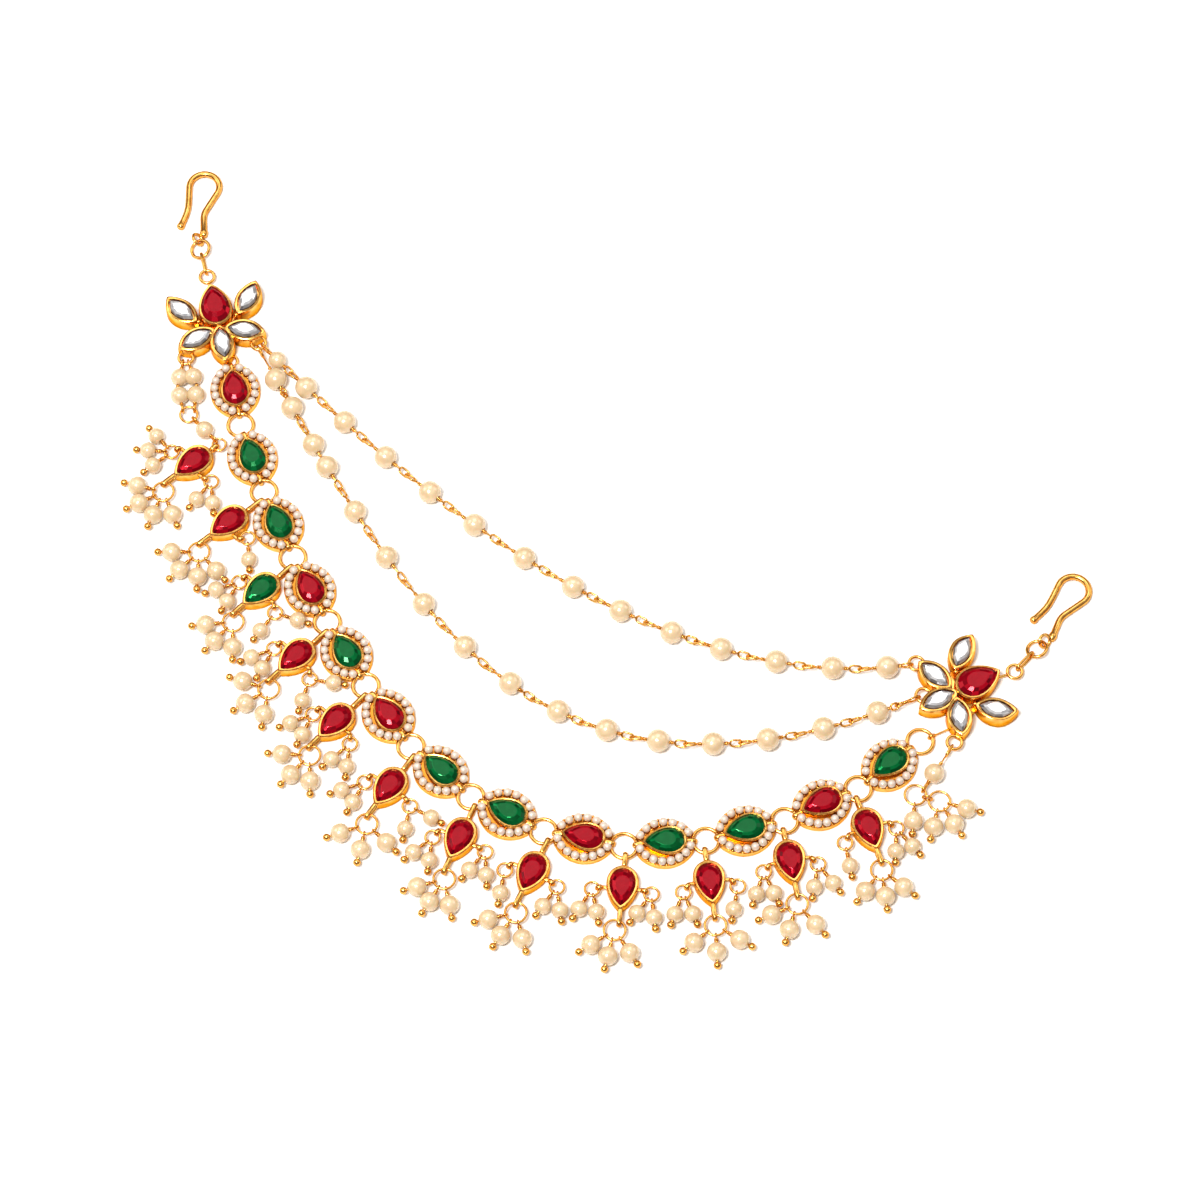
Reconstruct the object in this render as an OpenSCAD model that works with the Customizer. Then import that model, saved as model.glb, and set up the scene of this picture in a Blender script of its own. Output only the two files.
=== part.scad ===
// A bridal hair chain, lying flat as it would on a table. Thirteen pear-set motifs run between two
// flowers, twelve pear drops with pearl sprays hang from the rings between them, two strands of
// pearls cross above, and a short link chain and a hook end each side.
// Millimetres: +X to the right, +Y away, +Z up, and the table is the plane Z = 0.

/* [Stones] */
// Length of a pear stone
stone_l = 9; // [8.6:0.1:9.2]
// Width of a pear stone
stone_w = 6; // [5.6:0.1:6.1]
// Length of the pear stone in the middle of a flower
centre_stone_l = 10; // [9.4:0.1:10.2]
// Width of the pear stone in the middle of a flower
centre_stone_w = 7; // [6.6:0.1:7.1]
// Length of a clear petal stone
petal_stone_l = 8; // [7.4:0.1:8.2]
// Width of a clear petal stone
petal_stone_w = 4.2; // [3.8:0.1:4.4]
// Height of the faceted crown over the rim of its setting
crown_h = 1; // [0.7:0.1:1.2]
// Width of the table as a share of the stone's width
table_share = 0.55; // [0.45:0.01:0.65]

/* [Settings] */
// Height of the settings of the motifs and the drops
setting_h = 3.4; // [3.2:0.1:3.8]
// Length over the pear setting of a motif
motif_setting_l = 10.6; // [10.4:0.1:10.8]
// Width over the pear setting of a motif
motif_setting_w = 7.3; // [7.1:0.1:7.5]
// Length of a drop, without its lugs
drop_l = 11; // [10.8:0.1:11.2]
// Width of a drop, without its lugs
drop_w = 7.6; // [7.4:0.1:7.8]
// Length of the almond plate under a motif
motif_l = 15.2; // [14.8:0.1:15.4]
// Width of the almond plate under a motif
motif_w = 12.2; // [11.8:0.1:12.4]
// Thickness of the almond plate, whose top carries the seed pearls
plate_h = 1.7; // [1.6:0.05:1.8]
// Height of the petals and the middle of a flower
flower_h = 4.5; // [4.3:0.1:4.8]

/* [Rings and wire] */
// Middle radius of the rings that join the motifs
link_ring_r = 3.1; // [3:0.05:3.2]
// Wire of the rings that join the motifs, and of the flowers' lugs
link_wire = 0.8; // [0.7:0.02:0.84]
// Middle radius of the ring under the tip of a drop
tip_ring_r = 2.5; // [2.4:0.05:2.6]
// Middle radius of the rings at the sides of a drop
side_ring_r = 1.7; // [1.6:0.05:1.8]
// Wire of the rings and pins of the sprays
spray_wire = 0.6; // [0.5:0.02:0.62]
// Wire of the eye pins in the two strands
strand_wire = 0.56; // [0.5:0.02:0.58]
// Wire of the hooks
hook_wire = 1.6; // [1.3:0.1:1.7]

/* [Pearls] */
// Pearls of the two strands
strand_pearl_d = 5.5; // [5.2:0.1:5.6]
// Pearls in the sprays under the drops' tips
tip_pearl_d = 4.6; // [4.2:0.1:4.6]
// Pearls in the sprays at the drops' sides
side_pearl_d = 4; // [3.8:0.1:4]
// Gold balls that close the spray pins
ball_d = 1.8; // [1.6:0.1:1.8]
// Hole through a pearl
bore_d = 0.9; // [0.86:0.02:1]

/* [Hidden] */
// Play between a stone and its setting, and between a ring and what it passes
play = 0.1;
bead_fn = 40;
wire_fn = 24;
ring_fn = 64;
pear_points = 24;
facets = 16;

// Heights of the wires over the table: motif rings, sprays, strands, tassels and the hook chain
low_z = 1.15;
spray_z = tip_pearl_d / 2;
strand_z = strand_pearl_d / 2;
lug_z = 2.25;
first_ring_z = 2;
end_z = 2.4;
chain_z = 1.7;

// Loops that are soldered to a motif or a drop and hold a ring
loop_r = 0.85;
loop_wire = 0.6;
side_loop_r = 0.78;
// Lugs of the flowers, with the length of their stems and how far a stem lies under its lug
lug_r = 1.75;
lug_stem = 3.2;
lug_stem_drop = 0.25;
// Eyes of the pins, between two beads and at a lug
eye_r = 0.8;
end_eye_r = 1;

// Stone heights: under the girdle, the girdle itself, and the rim of the setting over it
keel_h = 0.9;
girdle_h = 0.3;
rim_over_girdle = 0.5;
cup_depth = rim_over_girdle + keel_h + play;

// From the middle of a motif to the middle of the rings beside it
motif_reach = 9.6;
motif_loop_x = motif_reach - link_ring_r;
// Where the strut of a motif's loop starts, inside the setting
strut_in = 4.4;
motif_start = [-89.4, 56];
// Way that each motif runs, in degrees, and the colour of its stone
MOTIFS = [
  [-80, "red"],
  [-71, "green"],
  [-67, "green"],
  [-63, "red"],
  [-60, "green"],
  [-55, "red"],
  [-42, "green"],
  [-27, "green"],
  [-11, "red"],
  [4, "green"],
  [15, "green"],
  [25, "red"],
  [39, "green"]
];

// The drops, from the left: where the bail sits round its ring, way the drop points, reach from the
// ring's wire to the drop's middle, then the sprays at its tip, left and right, each as
// [way its ring hangs, way of each pearl]
DROPS = [
  [-140, -140, 6.6, [-103, 166, -152, -110, -68], [-155, 132, 176, -140], [-25, -126, -84]],
  [-109, -140, 9.5, [-102, 180, -134, -91, -49], [130], [10, -85]],
  [-105, -136, 9.3, [-98, -174, -131, -89], [-135, -160, -118], [-80, -20, -125]],
  [-100, -135, 9.5, [-98, 162, -146, -98], [-134, -157, -117], [-90, -10, -106]],
  [-100, -133, 9.5, [-95, 177, -132, -88], [-132, -157, -115], [-90, -138, -96]],
  [-84, -124, 9.5, [-100, -160, -102, -45], [-130, -160, -118], [-60, -30, -100]],
  [-78, -112, 8.7, [-95, -163, -121, -79], [-130, -140, -97], [-35, -129, -87]],
  [-76, -114, 8.6, [-95, -166, -122, -76], [-135, -100], [-40, -125, -83]],
  [-85, -95, 8, [-115, -147, -104, -58], [-170, -122, -80], [-25, -126, -84]],
  [-93, -83, 8, [-85, -140, -88, -32], [-125, -110, -68], [-45, -100]],
  [-95, -80, 7.8, [-90, -156, -107, -50], [-130, -108, -66], [-45, -100, -54]],
  [-95, -72, 8, [-85, -127, -84, -40], [-115, -80], [-40, -93, -51]]
];
last_motif = len(MOTIFS) - 1;
last_drop = len(DROPS) - 1;
// Seat of the one drop with a green stone
green_drop = 2;
red_drops = [for (i = [0:last_drop]) if (i != green_drop) i];
first_drop_ring = [-92.7, 40.8];
first_drop_ring_r = 1.6;
drop_loop_x = 8.1;
side_loop_x = 0.3;
side_loop_y = 5.3;
// From the middle of a drop to the inside of its wall
side_wall = 3.1;
bail_over = 0.4;
tip_reach = 6.6;
side_reach = 5.8;

// Petals of a flower, seen with the pear stone's tip along +X: middle x, middle y, way, and how far
// the petal lies under the rim of the middle setting
PETALS = [
  [0.2, 8.4, 41, 0.2],
  [-8.4, 6, 110, 0.2],
  [-10.7, 0, 180, 0.4],
  [-8.4, -6, -110, 0.2],
  [0.2, -8.4, -41, 0.2]
];
// Way from the last ring to the upright loop of the right flower
last_ring_way = 25;
last_stem = 3.6;
petal_l = 10.6;
petal_w = 6.2;
centre_l = 11.8;
centre_w = 8.4;
// Disc under the petals, which holds them together
base_x = -4.6;
base_r = 5.9;
base_h = 1.6;
// Ends of the hair chain: flower x, y and way, way of the hook chain, way of the hook, and way from
// the middle of the hook's eye to its shank
LEFT = [-95, 78.5, 102, 104, 93, 58];
RIGHT = [89.7, -22.9, 27, 47, 67, 36];
// Flat lugs round a flower: x, y, height
LEFT_LUGS = [
  [-97.4, 87.6, chain_z],
  [-84, 68.4, strand_z],
  [-90.9, 64.1, low_z],
  [-101.7, 64.6, lug_z]
];
RIGHT_LUGS = [
  [98.6, -19.6, chain_z],
  [75.2, -17.9, strand_z],
  [76.6, -26.2, strand_z],
  [83.6, -38.2, end_z]
];

// Hook chain: lug to round ring, half length of the oval link, round ring, and the hook's eye
ring_from_lug = 8.1;
chain_ring_r = 2.35;
chain_wire = 0.8;
hook_eye_r = 1.5;
shank_from_eye = 2.5;
hook_z = 0.65 * hook_wire;
// Turns of the hook's eye, the round ring and the oval link about the chain
eye_turn = 45;
ring_turn = -20;
link_turn = 80;
// Path of a hook from its eye: [bend radius, turn], or [0, straight length]
HOOK = [
  [0, 4.2],
  [4.5, -31],
  [0, 5.6],
  [3.75, 208],
  [0, 4.4],
  [13, -21],
  [0, 1.6]
];

// Strands: curve as four control points, then the gaps between the middles of their beads, from
// the left lug on
UPPER_CURVE = [[-82.6, 67.3], [-39.5, 21.3], [17.4, -26.7], [73.5, -18.2]];
LOWER_CURVE = [[-83.8, 66.7], [-46, -4.5], [-14.5, -65], [75, -26.9]];
strand_gaps_upper = [5, 10.5, 13.5, 14, 14.5, 14, 15, 14, 13, 13.5, 12.5, 13.5, 13.5, 13];
strand_gaps_lower = [9.4, 8.9, 11.5, 7, 14, 14.5, 15.5, 15, 14.5, 13.5, 12.5, 12.5, 13, 13, 13.5, 13.5];
small_pearl_d = 4.4;
upper_end_gap = 5.3;
// The lower strand ends in a link of two eyes, which is a bead of no diameter
lower_link_gap = 7.4;
lower_end_gap = 2.7;

// End tassels: the ring that gathers two short strings, the strings' curves, and the two end rings
// as [x, y, [0, way of each pearl]]
gather_ring = [-100.4, 48.9];
gather_ring_r = 2.1;
LEFT_STRING = [[-102.4, 63], [-103.3, 59.2], [-103.5, 54.5], [-101.9, 50.4]];
RIGHT_STRING = [[-100.9, 63], [-99.2, 59.2], [-98.4, 54.5], [-99.1, 50.5]];
CROSS_STRING = [[-98.9, 47.4], [-97.2, 45.6], [-95.5, 43.8], [-93.8, 42]];
END_STRING = [[82.6, -39.6], [80.4, -43.4], [78.4, -46.6], [75.9, -50]];
END_RINGS = [[74, -51.6, [0, -96]], [79.6, -53.2, [0, -104, -60, -16]]];
end_ring_r = 2.5;
// Upright ring that holds the two end rings together
end_rings_way = -16;
end_link_r = 1.15;
end_link_wire = 0.5;

// Middle of the whole chain on the table, which becomes the origin: x, y
middle = [0.9, 11.1];

function way(a) = [cos(a), sin(a)];
function two(i) = i < 9 ? str("0", i + 1) : str(i + 1);
function motif_name(i) = str("motif_", two(i));
function motif_stone_name(i) = str("motif_stone_", two(i));
function drop_name(i) = str("drop_", two(i));

// Places that follow from the tables
function motif_way(i) = MOTIFS[i][0];
function motif_at(i) = i == 0 ? motif_start : ring_at(i - 1) + motif_reach * way(motif_way(i));
function ring_at(i) = motif_at(i) + motif_reach * way(motif_way(i));
function drop_ring_at(i) = i == 0 ? first_drop_ring : ring_at(i);
function drop_ring_r(i) = i == 0 ? first_drop_ring_r : link_ring_r;
function drop_at(i) =
  drop_ring_at(i) + drop_ring_r(i) * way(DROPS[i][0]) + DROPS[i][2] * way(DROPS[i][1]);
function side_fan(i, side) = DROPS[i][side > 0 ? 5 : 4];
function tip_ring_at(i) =
  drop_at(i) + drop_loop_x * way(DROPS[i][1]) + tip_ring_r * way(DROPS[i][3][0]);
function side_ring_at(i, side) =
  drop_at(i) + side_loop_x * way(DROPS[i][1]) + side_loop_y * way(DROPS[i][1] + side * 90)
  + side_ring_r * way(side_fan(i, side)[0]);

// Pear outline with its tip at +X. At 0 it would be an oval, and at 1 its sides run straight to the tip.
pear_taper = 0.6;
widest = acos(-pear_taper / (2 + pear_taper));
function pear_y(t) = sin(t) * pow(sin(t / 2), pear_taper);
function pear(l, w, n) = [
  for (k = [0:n - 1]) let (t = 360 * k / n) [l / 2 * cos(t), w / 2 * pear_y(t) / pear_y(widest)]
];
// Marquise outline, pointed at both ends along X
function marquise(l, w, n) = [
  for (k = [0:n - 1]) let (t = 360 * k / n) [l / 2 * cos(t), w / 2 * sin(t) * abs(sin(t))]
];

// A point on a curve of four control points, and its length as [[length, parameter], ...]
function on_curve(c, t) =
  pow(1 - t, 3) * c[0] + 3 * t * pow(1 - t, 2) * c[1] + 3 * t * t * (1 - t) * c[2] + pow(t, 3) * c[3];
curve_steps = 80;
function lengths(c) = [
  for (
    k = 0, s = 0;
    k <= curve_steps;
    s = s + norm(on_curve(c, (k + 1) / curve_steps) - on_curve(c, k / curve_steps)), k = k + 1
  ) [s, k / curve_steps]
];
function curve_length(c) = lengths(c)[curve_steps][0];
function sum_to(v, i) = i < 0 ? 0 : v[i] + sum_to(v, i - 1);

module at(p, a = 0, z = 0) translate([p[0], p[1], z]) rotate([0, 0, a]) children();

// Ring of round wire, lying flat
module wire_ring(r, wire) {
  rotate_extrude($fn = ring_fn) translate([r, 0]) circle(d = wire, $fn = wire_fn);
}

// The same ring standing on its edge along X
module upright_ring(r, wire) rotate([90, 0, 0]) wire_ring(r, wire);

// Straight wire along X from one place to another
module wire_along(x0, x1, wire) {
  translate([x0, 0, 0]) rotate([0, 90, 0]) cylinder(d = wire, h = x1 - x0, $fn = wire_fn);
}

// Long loop in the XY plane with round ends at X = 0 and X = straight
module oval_ring(r, straight, wire) {
  for (end = [0, 1]) {
    translate([end * straight, 0, 0])
      rotate([0, 0, 90 - end * 180])
        rotate_extrude(angle = 180, $fn = ring_fn) translate([r, 0]) circle(d = wire, $fn = wire_fn);
    translate([0, (2 * end - 1) * r, 0]) wire_along(0, straight, wire);
  }
}

// Almond block pointed along X
module almond(l, w, h) {
  r = (l * l + w * w) / (4 * w);
  intersection() {
    translate([0, r - w / 2, 0]) cylinder(r = r, h = h, $fn = ring_fn);
    translate([0, w / 2 - r, 0]) cylinder(r = r, h = h, $fn = ring_fn);
  }
}

// Cut stone with its girdle at Z = 0: keel, girdle, faceted crown and a flat table
module cut_stone(outline) {
  n = len(outline);
  levels = [[0.5, -keel_h], [1, 0], [1, girdle_h], [0.8, girdle_h + 0.6 * crown_h]];
  rows = concat(levels, [[table_share, girdle_h + crown_h]]);
  last = len(rows) - 1;
  points = [for (row = rows) for (p = outline) [p[0] * row[0], p[1] * row[0], row[1]]];
  sides = [
    for (j = [0:last - 1]) for (k = [0:n - 1])
      let (m = (k + 1) % n) [j * n + k, (j + 1) * n + k, (j + 1) * n + m, j * n + m]
  ];
  under = [for (k = [0:n - 1]) k];
  table = [for (k = [n - 1:-1:0]) last * n + k];
  polyhedron(points, concat([under, table], sides));
}

// Pear setting with an open cup for its stone
module pear_cup(l, w, h) {
  difference() {
    linear_extrude(h) polygon(pear(l, w, pear_points));
    translate([0, 0, h - cup_depth])
      linear_extrude(h) polygon(pear(stone_l + 4 * play, stone_w + 2 * play, pear_points));
  }
}

module pear_stone(colour) {
  color(colour) translate([0, 0, setting_h - rim_over_girdle]) cut_stone(pear(stone_l, stone_w, facets));
}

// Motif: almond plate, pear setting with its tip to the start, and a loop at each end
module motif() {
  ring_way = link_ring_r + link_wire / 2 + 1.5 * play;
  color("goldenrod") {
    difference() {
      almond(motif_l, motif_w, plate_h);
      for (side = [-1, 1])
        translate([side * motif_reach, 0, -1]) cylinder(r = ring_way, h = plate_h + 2, $fn = ring_fn);
    }
    rotate([0, 0, 180]) pear_cup(motif_setting_l, motif_setting_w, setting_h);
    for (side = [0, 180]) rotate([0, 0, side]) {
      translate([motif_loop_x, 0, low_z]) upright_ring(loop_r, loop_wire);
      translate([0, 0, low_z + loop_r]) wire_along(strut_in, motif_loop_x - 0.2, loop_wire - 0.1);
    }
  }
}

// Drop: pear setting with its tip along +X, a bail, a tip loop and a loop at each side that faces
// the way its ring hangs
module drop(i) {
  reach = DROPS[i][2];
  bail_z = i == 0 ? first_ring_z : low_z;
  bail_straight = max(reach + bail_over - drop_l / 2 - 0.9, 0.1);
  tip_straight = drop_loop_x + bail_over - drop_l / 2 - 0.3;
  color("goldenrod") {
    pear_cup(drop_l, drop_w, setting_h);
    translate([-reach - bail_over, 0, bail_z]) rotate([90, 0, 0])
      oval_ring(loop_r, bail_straight, loop_wire);
    translate([0, 0, bail_z]) wire_along(-drop_l / 2 - 0.4, -drop_l / 2 + 0.6, loop_wire - 0.08);
    translate([drop_l / 2 + 0.3, 0, spray_z]) rotate([90, 0, 0])
      oval_ring(loop_r, tip_straight, loop_wire);
    translate([0, 0, spray_z]) wire_along(drop_l / 2 - 1.2, drop_l / 2, loop_wire - 0.08);
    for (side = [-1, 1]) if (len(side_fan(i, side)) > 1) {
      hang = side_fan(i, side)[0] - DROPS[i][1];
      strut = side_loop_y - side_loop_r * abs(sin(hang)) - side_wall;
      translate([side_loop_x, side * side_loop_y, spray_z]) rotate([0, 0, hang]) {
        upright_ring(side_loop_r, loop_wire - 0.1);
        translate([-side_loop_r, 0, 0])
          rotate([0, 0, -hang - side * 90]) wire_along(0, strut, loop_wire - 0.18);
      }
    }
  }
}

// Places a child at the ring of a fan, turned along each of its pins
module fan_places(fan) {
  for (k = [1:1:len(fan) - 1]) rotate([0, 0, fan[k]]) children();
}

// Pin along X with balls on it, each as [place, diameter], turned as one round body
module ball_pin(x0, x1, wire, balls) {
  rotate([0, 90, 0]) rotate_extrude($fn = bead_fn) intersection() {
    union() {
      translate([-wire / 2, x0]) square([wire, x1 - x0]);
      for (ball = balls) translate([0, ball[0]]) circle(d = ball[1], $fn = bead_fn);
    }
    translate([0, x0]) square([strand_pearl_d, x1 - x0 + ball_d]);
  }
}

// Ring with pins that fan out, each with a ball at its end
module spray_wires(fan, ring_r, ball_x, balls) {
  wire_ring(ring_r, spray_wire);
  fan_places(fan) ball_pin(ring_r, ball_x, spray_wire - 0.04, balls);
}

// Pearl drilled along X
module bead(d) {
  color("ivory") rotate([0, 90, 0]) rotate_extrude($fn = bead_fn) intersection() {
    circle(d = d, $fn = bead_fn);
    translate([bore_d / 2, -d]) square([d, 2 * d]);
  }
}

// Spray at the side of a drop, whose pearls are cemented to their pins
module side_spray(i, side) {
  fan = side_fan(i, side);
  ball_x = side_reach + side_pearl_d / 2 + ball_d / 2 - play;
  if (len(fan) > 1) color("ivory") at(side_ring_at(i, side), 0, spray_z)
    spray_wires(fan, side_ring_r, ball_x, [[side_reach, side_pearl_d], [ball_x, ball_d]]);
}

module tip_wires(fan, ring_r) {
  ball_x = tip_reach + tip_pearl_d / 2 + ball_d / 2 + play;
  color("goldenrod") spray_wires(fan, ring_r, ball_x, [[ball_x, ball_d]]);
}

module tip_pins(i) at(tip_ring_at(i), 0, spray_z) tip_wires(DROPS[i][3], tip_ring_r);

module tip_pearls(i) {
  at(tip_ring_at(i), 0, spray_z) fan_places(DROPS[i][3]) translate([tip_reach, 0, 0]) bead(tip_pearl_d);
}

// Flower: five petals and a pear setting, cast in one, with its lugs; the cups are cut last
module flower(end, lugs) {
  color("goldenrod") difference() {
    union() {
      at(end, end[2]) {
        linear_extrude(flower_h) polygon(pear(centre_l, centre_w, pear_points));
        for (petal = PETALS) at(petal, petal[2]) almond(petal_l, petal_w, flower_h - petal[3]);
        translate([base_x, 0, 0]) cylinder(r = base_r, h = base_h, $fn = ring_fn);
      }
      for (lug = lugs) at(lug, 0, lug[2]) lug_ring(lug, end);
      if (end == RIGHT) at(ring_at(last_motif), last_ring_way, low_z) {
        translate([link_ring_r, 0, 0]) upright_ring(loop_r, loop_wire);
        wire_along(link_ring_r + loop_r, link_ring_r + loop_r + last_stem, loop_wire - 0.1);
      }
    }
    at(end, end[2], flower_h - cup_depth) {
      linear_extrude(flower_h)
        polygon(pear(centre_stone_l + 4 * play, centre_stone_w + 2 * play, pear_points));
      for (petal = PETALS) at(petal, petal[2], -petal[3])
        almond(petal_stone_l + 5 * play, petal_stone_w + 3 * play, flower_h);
    }
  }
}

// Flat lug, with a short stem back to the nearest petal
module lug_ring(lug, end) {
  back = atan2(end[1] - lug[1], end[0] - lug[0]);
  wire_ring(lug_r, link_wire);
  translate([0, 0, -lug_stem_drop]) rotate([0, 0, back]) wire_along(lug_r, lug_r + lug_stem, link_wire - 0.1);
}

module flower_stone(end) {
  color("crimson") at(end, end[2], flower_h - rim_over_girdle)
    cut_stone(pear(centre_stone_l, centre_stone_w, facets));
}

module petal_stones(end) {
  color("white") at(end, end[2], flower_h - rim_over_girdle)
    for (petal = PETALS) at(petal, petal[2], -petal[3])
      cut_stone(marquise(petal_stone_l, petal_stone_w, 12));
}

// Points of a flat path of straights and bends, each as [point, way]
bend_step = 14;
function walk(path, k = 0, p = [0, 0], a = 0) =
  k == len(path) ? [[p, a]]
  : let (
      r = path[k][0],
      turn = path[k][1],
      side = turn < 0 ? -1 : 1,
      n = r == 0 ? 1 : ceil(abs(turn) / bend_step),
      hub = p + side * r * way(a + 90),
      end = r == 0 ? p + turn * way(a) : hub - side * r * way(a + turn + 90)
    )
    concat(
      [
        for (j = [0:n - 1])
          let (t = j * turn / n) r == 0 ? [p, a] : [hub - side * r * way(a + t + 90), a + t]
      ],
      walk(path, k + 1, end, r == 0 ? a : a + turn)
    );

// Bent wire along such a path, with a collar where it starts and a rounded end:
// collar and end are [distance along the wire, share of its thickness]
COLLAR = [[-1.2, 0.7], [-0.7, 1.1], [0, 1.3], [0.5, 1.2], [0.9, 1]];
TIP = [[0, 1], [0.4, 1.15], [0.9, 1.2], [1.3, 1], [1.5, 0.6]];
hook_sides = 12;
module bent_wire(path, wire) {
  route = walk(path);
  first = route[0];
  final = route[len(route) - 1];
  rings = concat(
    [for (c = COLLAR) [first[0] + c[0] * way(first[1]), first[1], c[1]]],
    [for (k = [1:len(route) - 2]) [route[k][0], route[k][1], 1]],
    [for (c = TIP) [final[0] + c[0] * way(final[1]), final[1], c[1]]]
  );
  n = len(rings);
  points = [
    for (ring = rings) for (j = [0:hook_sides - 1])
      let (
        t = 360 * (j + 0.5) / hook_sides,
        r = ring[2] * wire / 2,
        p = ring[0] + r * cos(t) * way(ring[1] + 90)
      )
        [p[0], p[1], r * sin(t)]
  ];
  sides = [
    for (k = [0:n - 2]) for (j = [0:hook_sides - 1])
      let (m = (j + 1) % hook_sides)
        [(k + 1) * hook_sides + j, (k + 1) * hook_sides + m, k * hook_sides + m, k * hook_sides + j]
  ];
  start_cap = [for (j = [0:hook_sides - 1]) j];
  end_cap = [for (j = [hook_sides - 1:-1:0]) (n - 1) * hook_sides + j];
  polyhedron(points, concat([start_cap, end_cap], sides));
}

function hook_lug(end) = end[0] < 0 ? LEFT_LUGS[0] : RIGHT_LUGS[0];
eye_from_lug = ring_from_lug + chain_ring_r + hook_eye_r - chain_wire - 2 * play;

module hook(end) {
  color("goldenrod") at(hook_lug(end), end[3]) {
    translate([eye_from_lug, 0, chain_z]) rotate([eye_turn, 0, 0]) wire_ring(hook_eye_r, chain_wire);
    translate([eye_from_lug, 0, hook_z]) rotate([0, 0, end[5] - end[3]])
      translate([shank_from_eye, 0, 0]) rotate([0, 0, end[4] - end[5]]) bent_wire(HOOK, hook_wire);
  }
}

// Oval link on the flower's lug, and the round ring between it and the hook
module hook_links(end) {
  link_r = 0.95;
  link_wire_d = 0.7;
  near = lug_r - (link_wire + link_wire_d) / 2 - 1.5 * play;
  far = ring_from_lug - chain_ring_r + (chain_wire + link_wire_d) / 2 + 1.5 * play;
  color("goldenrod") at(hook_lug(end), end[3], chain_z) {
    translate([near + link_r, 0, 0]) rotate([link_turn, 0, 0])
      oval_ring(link_r, far - near - 2 * link_r, link_wire_d);
    translate([ring_from_lug, 0, 0]) rotate([ring_turn, 0, 0]) wire_ring(chain_ring_r, chain_wire);
  }
}

// Strands. A joint lies in the middle of the free wire between two beads, and where two beads
// almost touch, one pin carries both.
one_pin_gap = 2.2;
eye_straight = 1.2;
shank_wire = strand_wire - 0.08;
// Ball on the wire between two beads that share a pin
knot_d = 0.9;
lap = strand_wire + 0.16;
lug_lap = (strand_wire + link_wire) / 2 + 0.14;
// How far before and after a bead the curve gives it its way, on a long strand and on a short string
strand_chord = 4;
string_chord = 0.3;
function span(gap, d0, d1) = d0 / 2 + (gap - d0 / 2 - d1 / 2) / 2;

// One end of a pin, as [distance from the bead's middle, eye radius or 0 for a shared wire, tilt]
function strand_end(gap, d, next_d, tilt) =
  gap - (d + next_d) / 2 < one_pin_gap ? [span(gap, d, next_d), 0, 0]
  : [span(gap, d, next_d) + lap / 2, eye_r, tilt];
function end_straight(end, d) = min(max(end[0] - 2 * end[1] - d / 2 - 0.7, 0), eye_straight);
function shank_end(end, d) =
  end[1] == 0 ? end[0] - 0.15 : end[0] - 2 * end[1] - end_straight(end, d) + 0.1;

module pin_eye(end, d) {
  straight = end_straight(end, d);
  if (end[1] > 0) rotate([end[2], 0, 0]) {
    if (straight > 0.1) translate([end[0] - end[1] - straight, 0, 0])
      oval_ring(end[1], straight, strand_wire);
    else translate([end[0] - end[1], 0, 0]) wire_ring(end[1], strand_wire);
  }
}

// Eye pin through a bead of diameter d
module eye_pin(back, front, d) {
  knot = front[1] == 0 ? [[front[0], knot_d]] : [];
  ball_pin(-shank_end(back, d), shank_end(front, d), shank_wire, knot);
  rotate([0, 0, 180]) pin_eye(back, d);
  pin_eye(front, d);
}

// Each bead of a string is placed along its curve; what = "pins" or "beads"
module string(curve, gaps, sizes, end_gap, z, what, chord = string_chord) {
  table = lengths(curve);
  last = len(gaps) - 1;
  stretch = curve_length(curve) / (sum_to(gaps, last) + end_gap);
  for (i = [0:last]) {
    s = stretch * sum_to(gaps, i);
    p = on_curve(curve, lookup(s, table));
    from = on_curve(curve, i == 0 ? 0 : lookup(s - chord, table));
    to = on_curve(curve, i == last ? 1 : lookup(s + chord, table));
    d = sizes[i];
    before = stretch * gaps[i];
    after = stretch * (i == last ? end_gap : gaps[i + 1]);
    at(p, atan2(to[1] - from[1], to[0] - from[0]), z) {
      if (what == "beads" && d > 0) bead(d);
      if (what == "pins") color("goldenrod") eye_pin(
        i == 0 ? [before + lug_lap, end_eye_r, 90] : strand_end(before, d, sizes[i - 1], 45),
        i == last ? [after + lug_lap, end_eye_r, 90] : strand_end(after, d, sizes[i + 1], 45),
        d
      );
    }
  }
}

module upper_strand(what) {
  sizes = [for (i = [0:len(strand_gaps_upper) - 1]) i == 0 ? small_pearl_d : strand_pearl_d];
  string(UPPER_CURVE, strand_gaps_upper, sizes, upper_end_gap, strand_z, what, strand_chord);
}

module lower_strand(what) {
  gaps = concat(strand_gaps_lower, [lower_link_gap]);
  sizes = [for (i = [0:len(gaps) - 1]) i == len(gaps) - 1 ? 0 : strand_pearl_d];
  string(LOWER_CURVE, gaps, sizes, lower_end_gap, strand_z, what, strand_chord);
}

module tassels(what) {
  pair = [small_pearl_d, small_pearl_d];
  string(LEFT_STRING, [4, 5.2], pair, 4, lug_z, what);
  string(RIGHT_STRING, [4, 5.2], pair, 4, lug_z, what);
  string(CROSS_STRING, [3.7], [small_pearl_d], 3.7, lug_z, what);
  string(END_STRING, [7.4], [4.8], 4.6, end_z, what);
  for (end = END_RINGS) at(end, 0, end_z) {
    if (what == "pins") tip_wires(end[2], end_ring_r);
    if (what == "beads") fan_places(end[2]) translate([tip_reach, 0, 0]) bead(tip_pearl_d);
  }
  if (what == "pins") color("goldenrod") {
    at(gather_ring, 0, lug_z) wire_ring(gather_ring_r, spray_wire);
    at((END_RINGS[0] + END_RINGS[1]) / 2, end_rings_way, end_z) upright_ring(end_link_r, end_link_wire);
  }
}

module motif_rings() {
  color("goldenrod") {
    for (i = [0:last_motif]) at(ring_at(i), 0, low_z) wire_ring(link_ring_r, link_wire);
    at(first_drop_ring, 0, first_ring_z) wire_ring(first_drop_ring_r, spray_wire);
  }
}

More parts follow.
